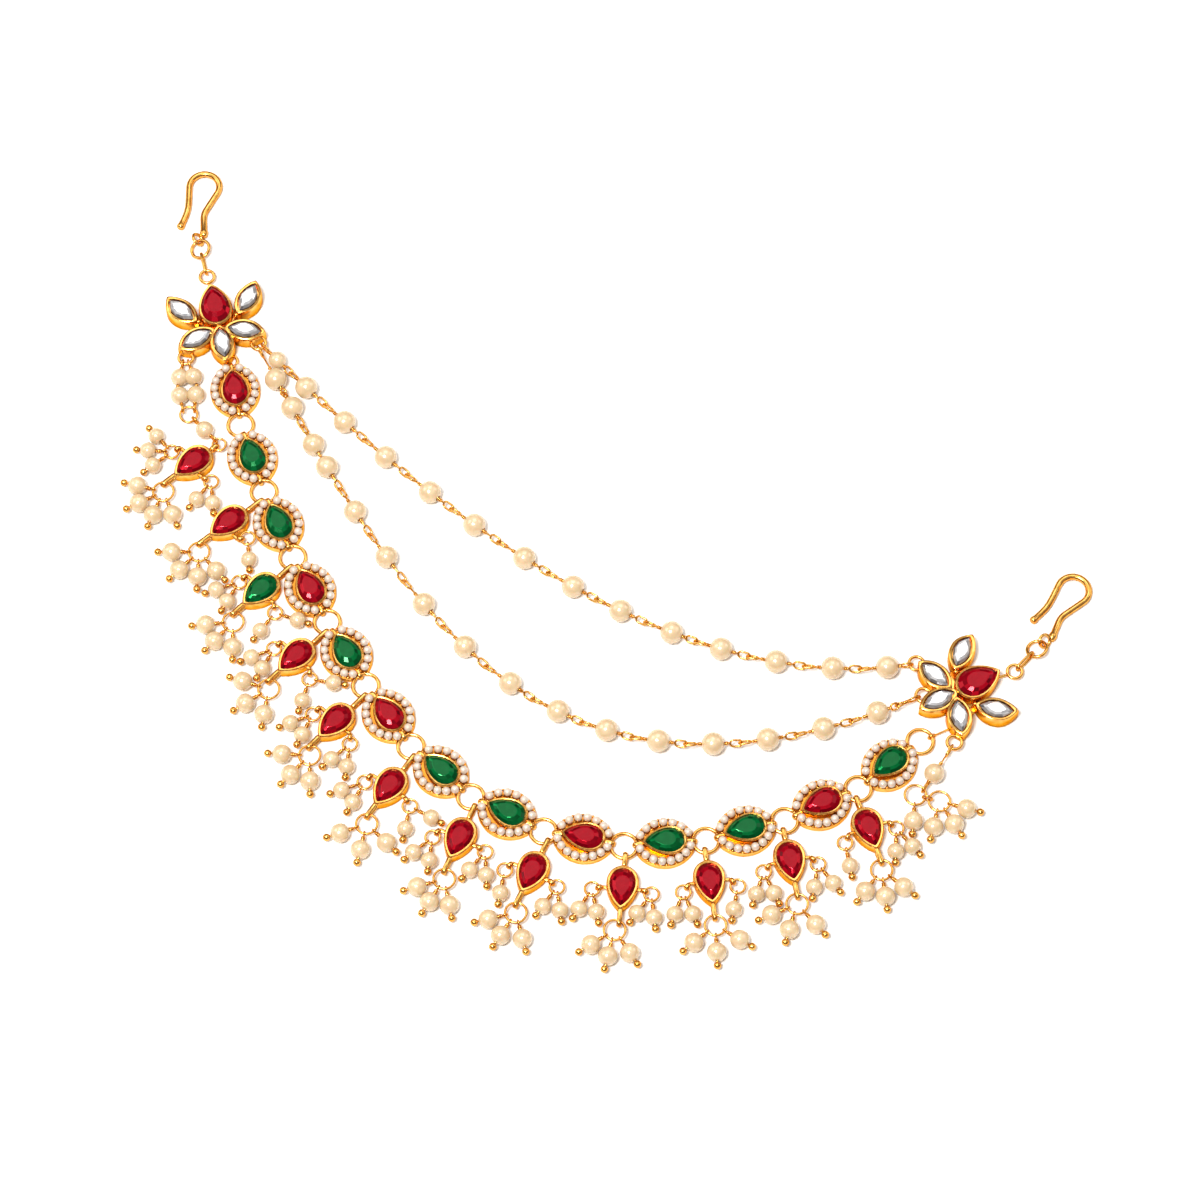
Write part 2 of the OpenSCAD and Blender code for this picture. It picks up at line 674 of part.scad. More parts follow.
module drop_stones(colour, seats) {
  for (i = seats) at(drop_at(i), DROPS[i][1]) pear_stone(colour);
}

module placed() translate([-middle[0], -middle[1], 0]) children();

placed() hook(LEFT);  // hook_left
placed() hook(RIGHT);  // hook_right
placed() for (end = [LEFT, RIGHT]) hook_links(end);
placed() flower(LEFT, LEFT_LUGS);  // flower_left
placed() flower(RIGHT, RIGHT_LUGS);  // flower_right
placed() flower_stone(LEFT);  // flower_stone_left
placed() flower_stone(RIGHT);  // flower_stone_right
placed() for (end = [LEFT, RIGHT]) petal_stones(end);
for (i = [0:last_motif]) {
  placed() at(motif_at(i), motif_way(i)) motif();
  placed()
    at(motif_at(i), motif_way(i) + 180) pear_stone(MOTIFS[i][1]);
}
placed() motif_rings();
for (i = [0:last_drop])
  placed() at(drop_at(i), DROPS[i][1]) drop(i);
placed() drop_stones("crimson", red_drops);  // drop_stones_red
placed() drop_stones("green", [green_drop]);  // drop_stone_green
placed() for (i = [0:last_drop]) tip_pins(i);  // spray_pins
placed() for (i = [0:last_drop]) tip_pearls(i);  // spray_pearls
placed() for (i = [0:last_drop]) side_spray(i, -1);  // spray_left
placed() for (i = [0:last_drop]) side_spray(i, 1);  // spray_right
placed() upper_strand("beads");  // strand_upper_pearls
placed() upper_strand("pins");  // strand_upper_pins
placed() lower_strand("beads");  // strand_lower_pearls
placed() lower_strand("pins");  // strand_lower_pins
placed() tassels("beads");  // tassel_pearls
placed() tassels("pins");  // tassel_pins
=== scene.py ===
# %% [markdown]
# # A bridal hair chain
# This lesson dresses a hair chain in bright gold plating, foiled glass and pearl. Thirteen motifs
# with pear-shaped stones run between two flowers, twelve drops with pearl sprays hang from the
# rings between them, and two strands of pearls cross above. The solid model from the workshop is
# loaded first and stays untouched. Each piece made here lies exactly where its solid lies.

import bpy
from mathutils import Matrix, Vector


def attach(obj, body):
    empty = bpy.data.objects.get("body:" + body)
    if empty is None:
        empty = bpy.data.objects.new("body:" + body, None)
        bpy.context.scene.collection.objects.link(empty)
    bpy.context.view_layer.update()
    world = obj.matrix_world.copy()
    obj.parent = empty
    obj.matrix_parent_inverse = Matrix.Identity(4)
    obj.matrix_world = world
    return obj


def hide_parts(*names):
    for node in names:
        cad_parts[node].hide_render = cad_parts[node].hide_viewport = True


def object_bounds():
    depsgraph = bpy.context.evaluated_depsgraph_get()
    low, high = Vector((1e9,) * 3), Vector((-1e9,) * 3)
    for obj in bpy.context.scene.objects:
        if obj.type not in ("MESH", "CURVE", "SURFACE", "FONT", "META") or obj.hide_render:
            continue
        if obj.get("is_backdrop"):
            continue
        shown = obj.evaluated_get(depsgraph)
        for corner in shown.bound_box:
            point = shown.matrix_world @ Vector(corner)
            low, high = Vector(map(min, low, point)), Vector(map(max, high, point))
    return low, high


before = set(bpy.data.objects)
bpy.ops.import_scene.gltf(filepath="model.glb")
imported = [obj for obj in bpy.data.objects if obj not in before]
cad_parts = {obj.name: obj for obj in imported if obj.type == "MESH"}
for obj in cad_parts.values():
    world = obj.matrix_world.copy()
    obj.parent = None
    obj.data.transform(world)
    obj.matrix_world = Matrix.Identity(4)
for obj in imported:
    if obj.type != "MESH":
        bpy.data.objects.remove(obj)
cad_low, cad_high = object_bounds()
print("the solid model's box:", [round(v, 4) for v in (*cad_low, *cad_high)])

# %% [markdown]
# ## The camera
# The photograph looks down on the chain from the front, 65 degrees above the table. A long lens
# from about a metre away gives the same quiet perspective, and every ring keeps the flattened shape
# that it has in the picture.

# %% Camera
from math import acos, atan2, ceil, cos, degrees, pi, radians, sin

import bpy
from mathutils import Matrix, Vector

MM = 0.001

target = Vector((-0.9, -11.1, 0)) * MM
eye = target + Vector((0, -456.4, 978.8)) * MM
bpy.ops.object.camera_add(location=eye, rotation=(target - eye).to_track_quat("-Z", "Y").to_euler())
camera = bpy.context.object
camera.name = "camera"
camera.data.lens = 135
camera.data.sensor_width = 36
camera.data.clip_start = 0.01
bpy.context.scene.camera = camera
print("camera", round((eye - target).length, 3), "m from the chain")

# %% [markdown]
# ## Where everything lies
# The same short tables that laid out the solids lay out the visible pieces: which way each motif
# runs, where each drop hangs and how its pearls fan out. All lengths are in millimetres and all
# ways in degrees, with 0 along +X. Placing by table means that moving one motif moves all that
# hangs from it, as on the workbench.

# %% Measures and layout tables
MIDDLE = (0.9, 11.1)

STONE = (9, 6)
CENTRE_STONE = (10, 7)
PETAL_STONE = (8, 4.2)
CROWN_H, KEEL_H, GIRDLE_H = 1, 0.9, 0.3
RIM_OVER_GIRDLE = 0.5
CUP_DEPTH = 1.5
SETTING_H, FLOWER_H, PLATE_H = 3.4, 4.5, 1.7
MOTIF_SETTING = (10.6, 7.3)
MOTIF_PLATE = (15.2, 12.2)
DROP = (11, 7.6)

LOW_Z, SPRAY_Z, STRAND_Z = 1.15, 2.3, 2.75
LUG_Z, FIRST_RING_Z, END_Z, CHAIN_Z = 2.25, 2, 2.4, 1.7

LINK_RING_R, LINK_WIRE, JOIN_WIRE = 3.1, 0.8, 0.9
TIP_RING_R, SIDE_RING_R = 2.5, 1.7
SPRAY_WIRE, STRAND_WIRE, HOOK_WIRE = 0.6, 0.56, 1.6
LOOP_R, LOOP_WIRE, SIDE_LOOP_R, SIDE_LOOP_WIRE = 0.85, 0.6, 0.78, 0.52
MOTIF_STRUT, DROP_STRUT, SIDE_STRUT, PIN, WRAP = 0.56, 0.52, 0.5, 0.5, 0.34
LUG_R, LUG_STEM = 1.75, 3.2
EYE_R, END_EYE_R = 0.8, 1

STRAND_PEARL, END_PEARL, TIP_PEARL, SMALL_PEARL, SIDE_PEARL = 5.5, 4.8, 4.6, 4.4, 4
BALL = 1.8
PLAY = 0.1

MOTIF_REACH = 9.6
MOTIF_LOOP_X = MOTIF_REACH - LINK_RING_R
MOTIF_START = (-89.4, 56)
MOTIF_WAYS = [-80, -71, -67, -63, -60, -55, -42, -27, -11, 4, 15, 25, 39]
RED_MOTIFS = [0, 3, 5, 8, 11]

# The drops: where the bail sits round its ring, way, reach, then the tip, left and right sprays
# as [way the ring hangs, way of each pearl]
DROPS = [
    [-140, -140, 6.6, [-103, 166, -152, -110, -68], [-155, 132, 176, -140], [-25, -126, -84]],
    [-109, -140, 9.5, [-102, 180, -134, -91, -49], [130], [10, -85]],
    [-105, -136, 9.3, [-98, -174, -131, -89], [-135, -160, -118], [-80, -20, -125]],
    [-100, -135, 9.5, [-98, 162, -146, -98], [-134, -157, -117], [-90, -10, -106]],
    [-100, -133, 9.5, [-95, 177, -132, -88], [-132, -157, -115], [-90, -138, -96]],
    [-84, -124, 9.5, [-100, -160, -102, -45], [-130, -160, -118], [-60, -30, -100]],
    [-78, -112, 8.7, [-95, -163, -121, -79], [-130, -140, -97], [-35, -129, -87]],
    [-76, -114, 8.6, [-95, -166, -122, -76], [-135, -100], [-40, -125, -83]],
    [-85, -95, 8, [-115, -147, -104, -58], [-170, -122, -80], [-25, -126, -84]],
    [-93, -83, 8, [-85, -140, -88, -32], [-125, -110, -68], [-45, -100]],
    [-95, -80, 7.8, [-90, -156, -107, -50], [-130, -108, -66], [-45, -100, -54]],
    [-95, -72, 8, [-85, -127, -84, -40], [-115, -80], [-40, -93, -51]],
]
GREEN_DROP = 2
FIRST_DROP_RING, FIRST_DROP_RING_R = (-92.7, 40.8), 1.6
DROP_LOOP_X = 8.1
SIDE_LOOP_X, SIDE_LOOP_Y, SIDE_WALL = 0.3, 5.3, 3.1
BAIL_OVER, TIP_REACH, SIDE_REACH = 0.4, 6.6, 5.8

# Petals: middle x, middle y, way, and how far the petal lies under the rim of the middle setting
PETALS = [
    (0.2, 8.4, 41, 0.2), (-8.4, 6, 110, 0.2), (-10.7, 0, 180, 0.4), (-8.4, -6, -110, 0.2),
    (0.2, -8.4, -41, 0.2)]
PETAL = (10.6, 6.2)
CENTRE = (11.8, 8.4)
BASE_X, BASE_R, BASE_H = -4.6, 5.9, 1.6
LAST_RING_WAY, LAST_STEM = 25, 3.6
# Ends of the chain: flower x, y and way, way of the hook's links, way of the hook, and way from the
# middle of the hook's eye to its shank
LEFT = (-95, 78.5, 102, 104, 93, 58)
RIGHT = (89.7, -22.9, 27, 47, 67, 36)
LEFT_LUGS = [
    (-97.4, 87.6, CHAIN_Z), (-84, 68.4, STRAND_Z), (-90.9, 64.1, LOW_Z), (-101.7, 64.6, LUG_Z)]
RIGHT_LUGS = [
    (98.6, -19.6, CHAIN_Z), (75.2, -17.9, STRAND_Z), (76.6, -26.2, STRAND_Z), (83.6, -38.2, END_Z)]

RING_FROM_LUG, CHAIN_RING_R, CHAIN_WIRE = 8.1, 2.35, 0.8
HOOK_EYE_R, SHANK_FROM_EYE = 1.5, 2.5
HOOK_Z = 0.65 * HOOK_WIRE
EYE_TURN, RING_TURN, LINK_TURN = 45, -20, 80
# Path of a hook from its eye: (bend radius, turn) or (0, straight length)
HOOK = [(0, 4.2), (4.5, -31), (0, 5.6), (3.75, 208), (0, 4.4), (13, -21), (0, 1.6)]

UPPER_CURVE = [(-82.6, 67.3), (-39.5, 21.3), (17.4, -26.7), (73.5, -18.2)]
LOWER_CURVE = [(-83.8, 66.7), (-46, -4.5), (-14.5, -65), (75, -26.9)]
UPPER_GAPS = [5, 10.5, 13.5, 14, 14.5, 14, 15, 14, 13, 13.5, 12.5, 13.5, 13.5, 13]
LOWER_GAPS = [
    9.4, 8.9, 11.5, 7, 14, 14.5, 15.5, 15, 14.5, 13.5, 12.5, 12.5, 13, 13, 13.5, 13.5, 7.4]
UPPER_END_GAP, LOWER_END_GAP = 5.3, 2.7

GATHER_RING, GATHER_RING_R = (-100.4, 48.9), 2.1
LEFT_STRING = [(-102.4, 63), (-103.3, 59.2), (-103.5, 54.5), (-101.9, 50.4)]
RIGHT_STRING = [(-100.9, 63), (-99.2, 59.2), (-98.4, 54.5), (-99.1, 50.5)]
CROSS_STRING = [(-98.9, 47.4), (-97.2, 45.6), (-95.5, 43.8), (-93.8, 42)]
END_STRING = [(82.6, -39.6), (80.4, -43.4), (78.4, -46.6), (75.9, -50)]
END_RINGS = [((74, -51.6), [-96]), ((79.6, -53.2), [-104, -60, -16])]
END_RING_R, END_RINGS_WAY, END_LINK_R, END_LINK_WIRE = 2.5, -16, 1.15, 0.5
print(len(MOTIF_WAYS), "motifs and", len(DROPS), "drops are laid out")

# %% [markdown]
# ## Places that follow from the tables
# Each motif starts from the ring before it and ends at its own ring. A drop is found from the ring
# that it hangs on, and its spray rings from the drop. A piece is modelled round the origin, and one
# matrix then carries it to its place.


# %% Places of motifs, rings, drops and sprays
def way(a):
    return Vector((cos(radians(a)), sin(radians(a))))


def motif_at(i):
    start = Vector(MOTIF_START)
    return start if i == 0 else ring_at(i - 1) + MOTIF_REACH * way(MOTIF_WAYS[i])


def ring_at(i):
    return motif_at(i) + MOTIF_REACH * way(MOTIF_WAYS[i])


def drop_at(i):
    seat, a, reach = DROPS[i][:3]
    ring, r = (Vector(FIRST_DROP_RING), FIRST_DROP_RING_R) if i == 0 else (ring_at(i), LINK_RING_R)
    return ring + r * way(seat) + reach * way(a)


def tip_ring_at(i):
    return drop_at(i) + DROP_LOOP_X * way(DROPS[i][1]) + TIP_RING_R * way(DROPS[i][3][0])


def side_fan(i, side):
    return DROPS[i][5 if side > 0 else 4]


def side_ring_at(i, side):
    a = DROPS[i][1]
    return (drop_at(i) + SIDE_LOOP_X * way(a) + SIDE_LOOP_Y * way(a + side * 90)
            + SIDE_RING_R * way(side_fan(i, side)[0]))


def along(x=0, y=0, z=0, a=0, tilt=0):
    """A place on a piece: moved, turned about Z, then tilted about its own X."""
    return (Matrix.Translation((x * MM, y * MM, z * MM)) @ Matrix.Rotation(radians(a), 4, "Z")
            @ Matrix.Rotation(radians(tilt), 4, "X"))


def seat(p, a=0, z=0):
    """The matrix that puts a piece made round the origin at a place on the chain."""
    return along(p[0] - MIDDLE[0], p[1] - MIDDLE[1], z, a)


print("last motif at", tuple(round(v, 2) for v in motif_at(12)), "mm")

# %% [markdown]
# ## Modelling helpers
# An operator acts on all that is selected, so each new primitive starts with nothing selected. A
# piece is made round the origin, and its mesh is then moved to its place, which leaves the object
# itself unturned. That matters because the patterns below are measured from the object's origin.


# %% Helpers that add and shape a primitive
def add(operator, place=None, **sizes):
    """Adds a primitive with nothing else selected, and moves its mesh to its place."""
    bpy.ops.object.select_all(action="DESELECT")
    operator(**sizes)
    piece = bpy.context.object
    if place is not None:
        piece.data.transform(place)
    return piece


def edit(piece, test):
    """Opens a piece in edit mode with the corners selected for which test(corner) holds."""
    bpy.ops.object.select_all(action="DESELECT")
    bpy.context.view_layer.objects.active = piece
    piece.select_set(True)
    bpy.ops.object.mode_set(mode="EDIT")
    bpy.ops.mesh.select_mode(type="VERT")
    bpy.ops.mesh.select_all(action="DESELECT")
    bpy.ops.object.mode_set(mode="OBJECT")
    for corner in piece.data.vertices:
        corner.select = bool(test(corner.co))
    bpy.ops.object.mode_set(mode="EDIT")


def leave(angle=35):
    """Turns all faces outwards, goes back to object mode and smooths all but the sharp edges."""
    bpy.ops.mesh.select_all(action="SELECT")
    bpy.ops.mesh.normals_make_consistent(inside=False)
    bpy.ops.object.mode_set(mode="OBJECT")
    if angle:
        bpy.ops.object.shade_smooth_by_angle(angle=radians(angle))
    else:
        bpy.ops.object.shade_flat()


# %% Helpers that join, copy and name a piece
def join(parts):
    bpy.ops.object.select_all(action="DESELECT")
    for part in parts:
        part.select_set(True)
    bpy.context.view_layer.objects.active = parts[0]
    if len(parts) > 1:
        bpy.ops.object.join()
    return parts[0]


def copy(source, place):
    """A copy with its own mesh, moved to its place."""
    twin = source.copy()
    twin.data = source.data.copy()
    twin.data.transform(place)
    bpy.context.collection.objects.link(twin)
    return twin


def show(piece, name, finish, slot, *nodes):
    """Names a finished piece, gives it its material, hangs it under the root and hides its solids.
    """
    piece.name = piece.data.name = name
    piece.data.materials.clear()
    piece.data.materials.append(finish)
    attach(piece, "root")
    if nodes:
        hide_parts(*nodes)
    print(f"{name}: {len(piece.data.polygons)} faces")
    return piece


UPRIGHT = Matrix.Rotation(radians(90), 4, "X")
ACROSS = Matrix.Rotation(radians(90), 4, "Y")
# Flattens the wire of a loop into a strap about twice as wide as it is thick
STRAP = Matrix.Diagonal((1, 1, 1.9, 1))
WIDE = Matrix.Diagonal((1, 2, 1, 1))


# %% [markdown]
# ## Wire
# Rings, loops and eyes are bent from round wire. A torus is already a closed ring. An oval link is
# the same torus with one half pulled away from the other, so that the wire runs straight between
# the two bends, just as the jeweller stretches a round link over a mandrel.


# %% Rings, oval loops, straight wire and wraps
def wire_ring(r, wire, place=None, around=36, across=10):
    ring = add(
        bpy.ops.mesh.primitive_torus_add, place, major_radius=r * MM, minor_radius=wire / 2 * MM,
        major_segments=around, minor_segments=across)
    bpy.ops.object.shade_smooth()
    return ring


def oval_ring(r, straight, wire, place=None, around=28, across=8):
    ring = wire_ring(r, wire, None, around, across)
    edit(ring, lambda corner: corner.x > 1e-6)
    bpy.ops.transform.translate(value=(straight * MM, 0, 0))
    bpy.ops.object.mode_set(mode="OBJECT")
    if place is not None:
        ring.data.transform(place)
    return ring


def wire_along(x0, x1, wire, place=Matrix(), corners=10):
    """Straight wire along X, whose two ends are rounded off."""
    rod = add(
        bpy.ops.mesh.primitive_cylinder_add, ACROSS, vertices=corners, radius=wire / 2 * MM,
        depth=(x1 - x0) * MM)
    half = (x1 - x0) / 2 * MM
    edit(rod, lambda corner: abs(corner.x) > half * 0.99)
    bpy.ops.mesh.bevel(offset=wire * 0.12 * MM, segments=1, affect="EDGES")
    leave()
    rod.data.transform(place @ along((x0 + x1) / 2))
    return rod


def wraps(x0, count, r, wire, place=Matrix()):
    """Turns of fine wire wound side by side round a pin that runs along X."""
    lean = Matrix.Rotation(radians(7), 4, "Y") @ ACROSS
    return [
        wire_ring(r, wire, place @ along(x0 + wire * (k + 0.5)) @ lean, 14, 6)
        for k in range(count)]


# %% [markdown]
# ## Outlines
# A pear and an almond are both a circle that has been pulled to a point. The circle primitive has
# its corners moved onto the outline, and everything above it follows by extruding the face,
# resizing it and lifting it. Because each level is a plain resize, the point stays a point from the
# foot of the wall to the polished rim.


# %% Pear, almond and marquise outlines
# At 0 a pear would be an oval, and at 1 its sides run straight to the tip
PEAR_TAPER = 0.6


def pear_y(t):
    return sin(t) * sin(t / 2) ** PEAR_TAPER


def pear(count, length, width):
    """Pear with its tip along +X."""
    widest = acos(-PEAR_TAPER / (2 + PEAR_TAPER))
    for k in range(count):
        t = 2 * pi * k / count
        yield length / 2 * cos(t), width / 2 * pear_y(t) / pear_y(widest)


def almond(count, length, width):
    """Almond of two arcs, pointed at both ends along X."""
    r = (length ** 2 + width ** 2) / (4 * width)
    reach = degrees(atan2(length / 2, r - width / 2))
    for k in range(count):
        side = 1 if k < count / 2 else -1
        t = radians(reach * (1 - 4 * (k % (count // 2)) / count))
        yield r * sin(t) * side, side * (r * cos(t) - r + width / 2)


def marquise(count, length, width):
    """Slim stone with two points along X."""
    for k in range(count):
        t = 2 * pi * k / count
        yield length / 2 * cos(t), width / 2 * sin(t) * abs(sin(t))


# %% A wall drawn up from an outline
def wall(outline, levels, corners=48, angle=35):
    """A closed form drawn up from an outline through levels of (length, width, height)."""
    piece = add(bpy.ops.mesh.primitive_circle_add, vertices=corners, radius=MM)
    length, width, z = levels[0]
    for corner, (x, y) in zip(piece.data.vertices, outline(corners, length, width)):
        corner.co = (x * MM, y * MM, z * MM)
    edit(piece, lambda corner: True)
    bpy.ops.mesh.edge_face_add()
    for next_length, next_width, next_z in levels[1:]:
        bpy.ops.mesh.extrude_region_move()
        bpy.ops.transform.resize(
            value=(next_length / length, next_width / width, 1), center_override=(0, 0, 0))
        bpy.ops.transform.translate(value=(0, 0, (next_z - z) * MM))
        length, width, z = next_length, next_width, next_z
    leave(angle)
    return piece


# %% [markdown]
# ## Materials: the node helper
# A material starts from the real thing: what it is, and how its surface was made. Colours are
# written as the hex values that a colour picker shows, and one function turns them into the linear
# values that the renderer counts with. The others add nodes, such as the soft clouds that keep
# every surface here from looking dead even.


# %% Colour and node helpers
def linear(code, alpha=1):
    """An sRGB hex colour as linear red, green, blue and alpha."""
    parts = [int(code[k:k + 2], 16) / 255 for k in (0, 2, 4)]
    return [c / 12.92 if c <= 0.04045 else ((c + 0.055) / 1.055) ** 2.4 for c in parts] + [alpha]


def node(made, kind, values=(), links=(), **settings):
    """Adds a node; values fill its sockets, links feed them, and settings are its own choices."""
    new = made.node_tree.nodes.new(kind)
    for name, value in settings.items():
        setattr(new, name, value)
    for socket, value in dict(values).items():
        new.inputs[socket].default_value = value
    for socket, source in dict(links).items():
        made.node_tree.links.new(source, new.inputs[socket])
    return new


def surface(made, values, links):
    """Finishes a material with a Principled shader of these fixed values and these links."""
    shader = node(made, "ShaderNodeBsdfPrincipled", values, links)
    node(made, "ShaderNodeOutputMaterial", links={"Surface": shader.outputs["BSDF"]})
    return made


def material(name):
    made = bpy.data.materials.new(name)
    made.use_nodes = True
    made.node_tree.nodes.clear()
    return made


def ramp(made, source, stops):
    """A colour ramp through (place, hex colour) stops."""
    band = node(made, "ShaderNodeValToRGB", links={"Fac": source})
    while len(band.color_ramp.elements) < len(stops):
        band.color_ramp.elements.new(0.5)
    for element, (place, code) in zip(band.color_ramp.elements, stops):
        element.position = place
        element.color = linear(code)
    return band.outputs["Color"]


def noise(made, size, detail):
    """Soft clouds of a size in millimetres, fixed to the piece."""
    place = node(made, "ShaderNodeTexCoord").outputs["Object"]
    return node(
        made, "ShaderNodeTexNoise", {"Scale": 1 / (size * MM), "Detail": detail},
        {"Vector": place}).outputs["Fac"]


def spread(made, clouds, low, high):
    """Clouds stretched over a range of roughness."""
    return node(
        made, "ShaderNodeMapRange",
        {"From Min": 0.3, "From Max": 0.7, "To Min": low, "To Max": high},
        {"Value": clouds}).outputs["Result"]


# %% [markdown]
# ## Bright gold plating
# The settings are cast brass, tumbled, polished and then plated with a thin warm gold. Tumbling
# leaves the faces a little soft and wavy, so a highlight breaks up instead of drawing one clean
# line. The plating is slightly redder where it pools. Both happen over a millimetre or two, and the
# far finer polishing marks are drawn at a quarter of a millimetre, to show at all. Seen edge-on,
# gold turns a deep orange, which the specular tint gives. The marked top of a motif's plate, the
# floor between the seed pearls, is painted brown: painted shade for the dark gaps there.


# %% Gold plating
def plating(name, light, deep, rough):
    made = material(name)
    pools = noise(made, 1.6, 2)
    marks = noise(made, 0.25, 1)
    polished = ramp(made, pools, [(0.3, deep), (0.6, light)])
    # Painted shade: faces marked by the motif take a flat brown (C8812E) in place of the shade
    # between the seed pearls.
    recess = node(made, "ShaderNodeAttribute", attribute_name="recess").outputs["Fac"]
    colour = node(
        made, "ShaderNodeMix", {"B": linear("C8812E")}, {"Factor": recess, "A": polished},
        data_type="RGBA")
    waves = node(
        made, "ShaderNodeBump", {"Strength": 0.35, "Distance": 0.05 * MM}, {"Height": pools})
    return surface(
        made, {"Metallic": 1, "Specular Tint": linear("E8B478")},
        {"Base Color": colour.outputs["Result"], "Normal": waves.outputs["Normal"],
         "Roughness": spread(made, marks, rough * 0.7, rough * 1.4)})


gold = plating("polished_gold_plating", "F5BE68", "DE9C4A", 0.2)
gold_wire = plating("drawn_wire_gold_plating", "F3BA64", "DA9846", 0.2)

# %% [markdown]
# ## Foiled glass
# The red and green stones are moulded glass with a metal foil fired on the back. The foil throws
# the light back through the coloured glass, so each facet shows its own depth of colour, and the
# flat table shows one calm tone. These tones are painted reflections, stored on the mesh when a
# stone is cut. The foil mirrors in the colour of the glass, so part of the gloss is metallic, and
# only a faint clear coat gives white glints: a full one would veil the deep colour.


# %% Foiled glass
def foiled_glass(name, stops, metallic, clouds):
    made = material(name)
    # Painted reflection: the facet's stored tone, with soft clouds added, picks the stone's colour
    # from the ramp.
    tone = node(made, "ShaderNodeAttribute", attribute_name="tone")
    depth = node(
        made, "ShaderNodeMath", {1: clouds, 2: -clouds / 2}, {0: noise(made, 1.4, 1)},
        operation="MULTIPLY_ADD")
    total = node(
        made, "ShaderNodeMath", {}, {0: tone.outputs["Fac"], 1: depth.outputs["Value"]},
        operation="ADD")
    return surface(
        made,
        {"Metallic": metallic, "Roughness": 0.16, "IOR": 1.52, "Specular IOR Level": 0.05,
         "Coat Weight": 0.15, "Coat Roughness": 0.03, "Coat IOR": 1.45},
        {"Base Color": ramp(made, total.outputs["Value"], stops)})


ruby = foiled_glass(
    "red_foiled_glass", [(0.0, "42000A"), (0.4, "860012"), (0.75, "BC0A20"), (1.0, "E8606E")],
    0.3, 0.15)
emerald = foiled_glass(
    "green_foiled_glass", [(0.0, "002A12"), (0.4, "005024"), (0.75, "007A3C"), (1.0, "38B074")],
    0.3, 0.15)
clear = foiled_glass(
    "silvered_clear_glass", [(0.0, "55555A"), (0.35, "B4B5B8"), (0.6, "F0F1F3"), (1.0, "FFFFFF")],
    0.6, 0.3)

# %% [markdown]
# ## Pearl lacquer
# Costume pearls are glass beads dipped in layers of pearl essence. Light comes back warm from these
# clear layers, and warmest at the edge, where it passes through most of them. A tinted clear coat
# does the same. The seed pearls have a whiter coat.


# %% Pearl lacquer
def pearl_lacquer(name, light, deep, coat, size):
    made = material(name)
    clouds = noise(made, size, 2)
    return surface(
        made,
        {"IOR": 1.53, "Subsurface Weight": 0.15, "Subsurface Scale": 0.8 * MM,
         "Coat Weight": 1, "Coat Roughness": 0.2, "Coat IOR": 1.9, "Coat Tint": linear(coat)},
        {"Base Color": ramp(made, clouds, [(0.3, deep), (0.7, light)]),
         "Roughness": spread(made, clouds, 0.2, 0.34)})


pearl = pearl_lacquer("cream_pearl_lacquer", "E6DED2", "DACFC0", "F4E0BE", 2.5)
seed = pearl_lacquer("white_seed_pearl_lacquer", "E2DCD6", "D4CCC4", "F4E8DC", 1.2)
print("materials:", [m.name for m in bpy.data.materials])

# %% [markdown]
# ## Cut stones
# A cut stone is a low form with a flat table, two rows of long crown facets, a thin girdle and a
# short keel. It is drawn up like a wall, but its faces stay flat. The edge of the table is cut to
# a narrow bevel. Each facet then gets a painted reflection as its tone: it stands in for what the
# foil sends back through the glass, in dark and light rays round a calm table, and the bevel
# gets a painted highlight.


# %% Stones
def cut_stone(outline, length, width, facets, painted_table_light):
    middle = GIRDLE_H + 0.6 * CROWN_H
    top = GIRDLE_H + CROWN_H
    rows = [
        (0.5, -KEEL_H), (1, 0), (1, GIRDLE_H), (0.8, middle), (0.59, top - 0.05), (0.55, top)]
    stone = wall(outline, [(length * s, width * s, z) for s, z in rows], facets, 0)
    # Painted reflection: each facet gets a tone that stands in for the foil's light, in rays on
    # crown and keel and one calm tone on the table.
    painted_facet_lights = stone.data.attributes.new("tone", "FLOAT", "FACE")
    for face, tone in zip(stone.data.polygons, painted_facet_lights.data):
        turn = atan2(face.center.y / width, face.center.x / length)
        ray = 0.5 + 0.5 * sin(7 * turn + 1) * cos(3 * turn)
        if face.normal.z > 0.99:
            tone.value = painted_table_light
        # Painted highlight: the narrow bevel round the table is painted a little brighter than the
        # table.
        elif face.center.z > (top - 0.06) * MM:
            tone.value = painted_table_light + 0.2
        elif face.center.z > middle * MM:
            tone.value = 0.1 + 0.6 * ray
        else:
            tone.value = 0.65 - 0.6 * ray
    return stone


pear_stone = cut_stone(pear, *STONE, 16, 0.4)
centre_stone = cut_stone(pear, *CENTRE_STONE, 16, 0.4)
petal_stone = cut_stone(marquise, *PETAL_STONE, 12, 0.8)
print("a pear stone has", len(pear_stone.data.polygons), "facets")

# %% [markdown]
# ## The pear settings
# Each coloured stone sits in a cup whose wall is burnished over the stone's edge. That gives the
# bright rounded line round every stone. The wall comes up straight, rolls over in four small steps
# and dives to the floor of the cup, so one extruded form has an outside, a rim and an inside.


# %% Pear settings
def pear_setting(length, width, foot_z, height, stone):
    inner_l, inner_w = stone[0] + 0.4, stone[1] + 0.2
    floor_z = height - CUP_DEPTH
    return wall(pear, [
        (length - 0.4, width - 0.4, foot_z),
        (length, width, foot_z + 0.35),
        (length, width, height - 0.75),
        (length - 0.12, width - 0.12, height - 0.4),
        (length - 0.4, width - 0.36, height - 0.12),
        (length - 0.75, width - 0.62, height - 0.02),
        (inner_l - 0.05, inner_w - 0.05, height - 0.08),
        (inner_l - 0.3, inner_w - 0.2, height - 0.22),
        (inner_l - 0.1, inner_w - 0.05, height - 0.4),
        (inner_l, inner_w, height - 0.6),
        (inner_l, inner_w, floor_z),
    ])


motif_setting = pear_setting(*MOTIF_SETTING, PLATE_H - 0.2, SETTING_H, STONE)
drop_setting = pear_setting(*DROP, 0, SETTING_H, STONE)
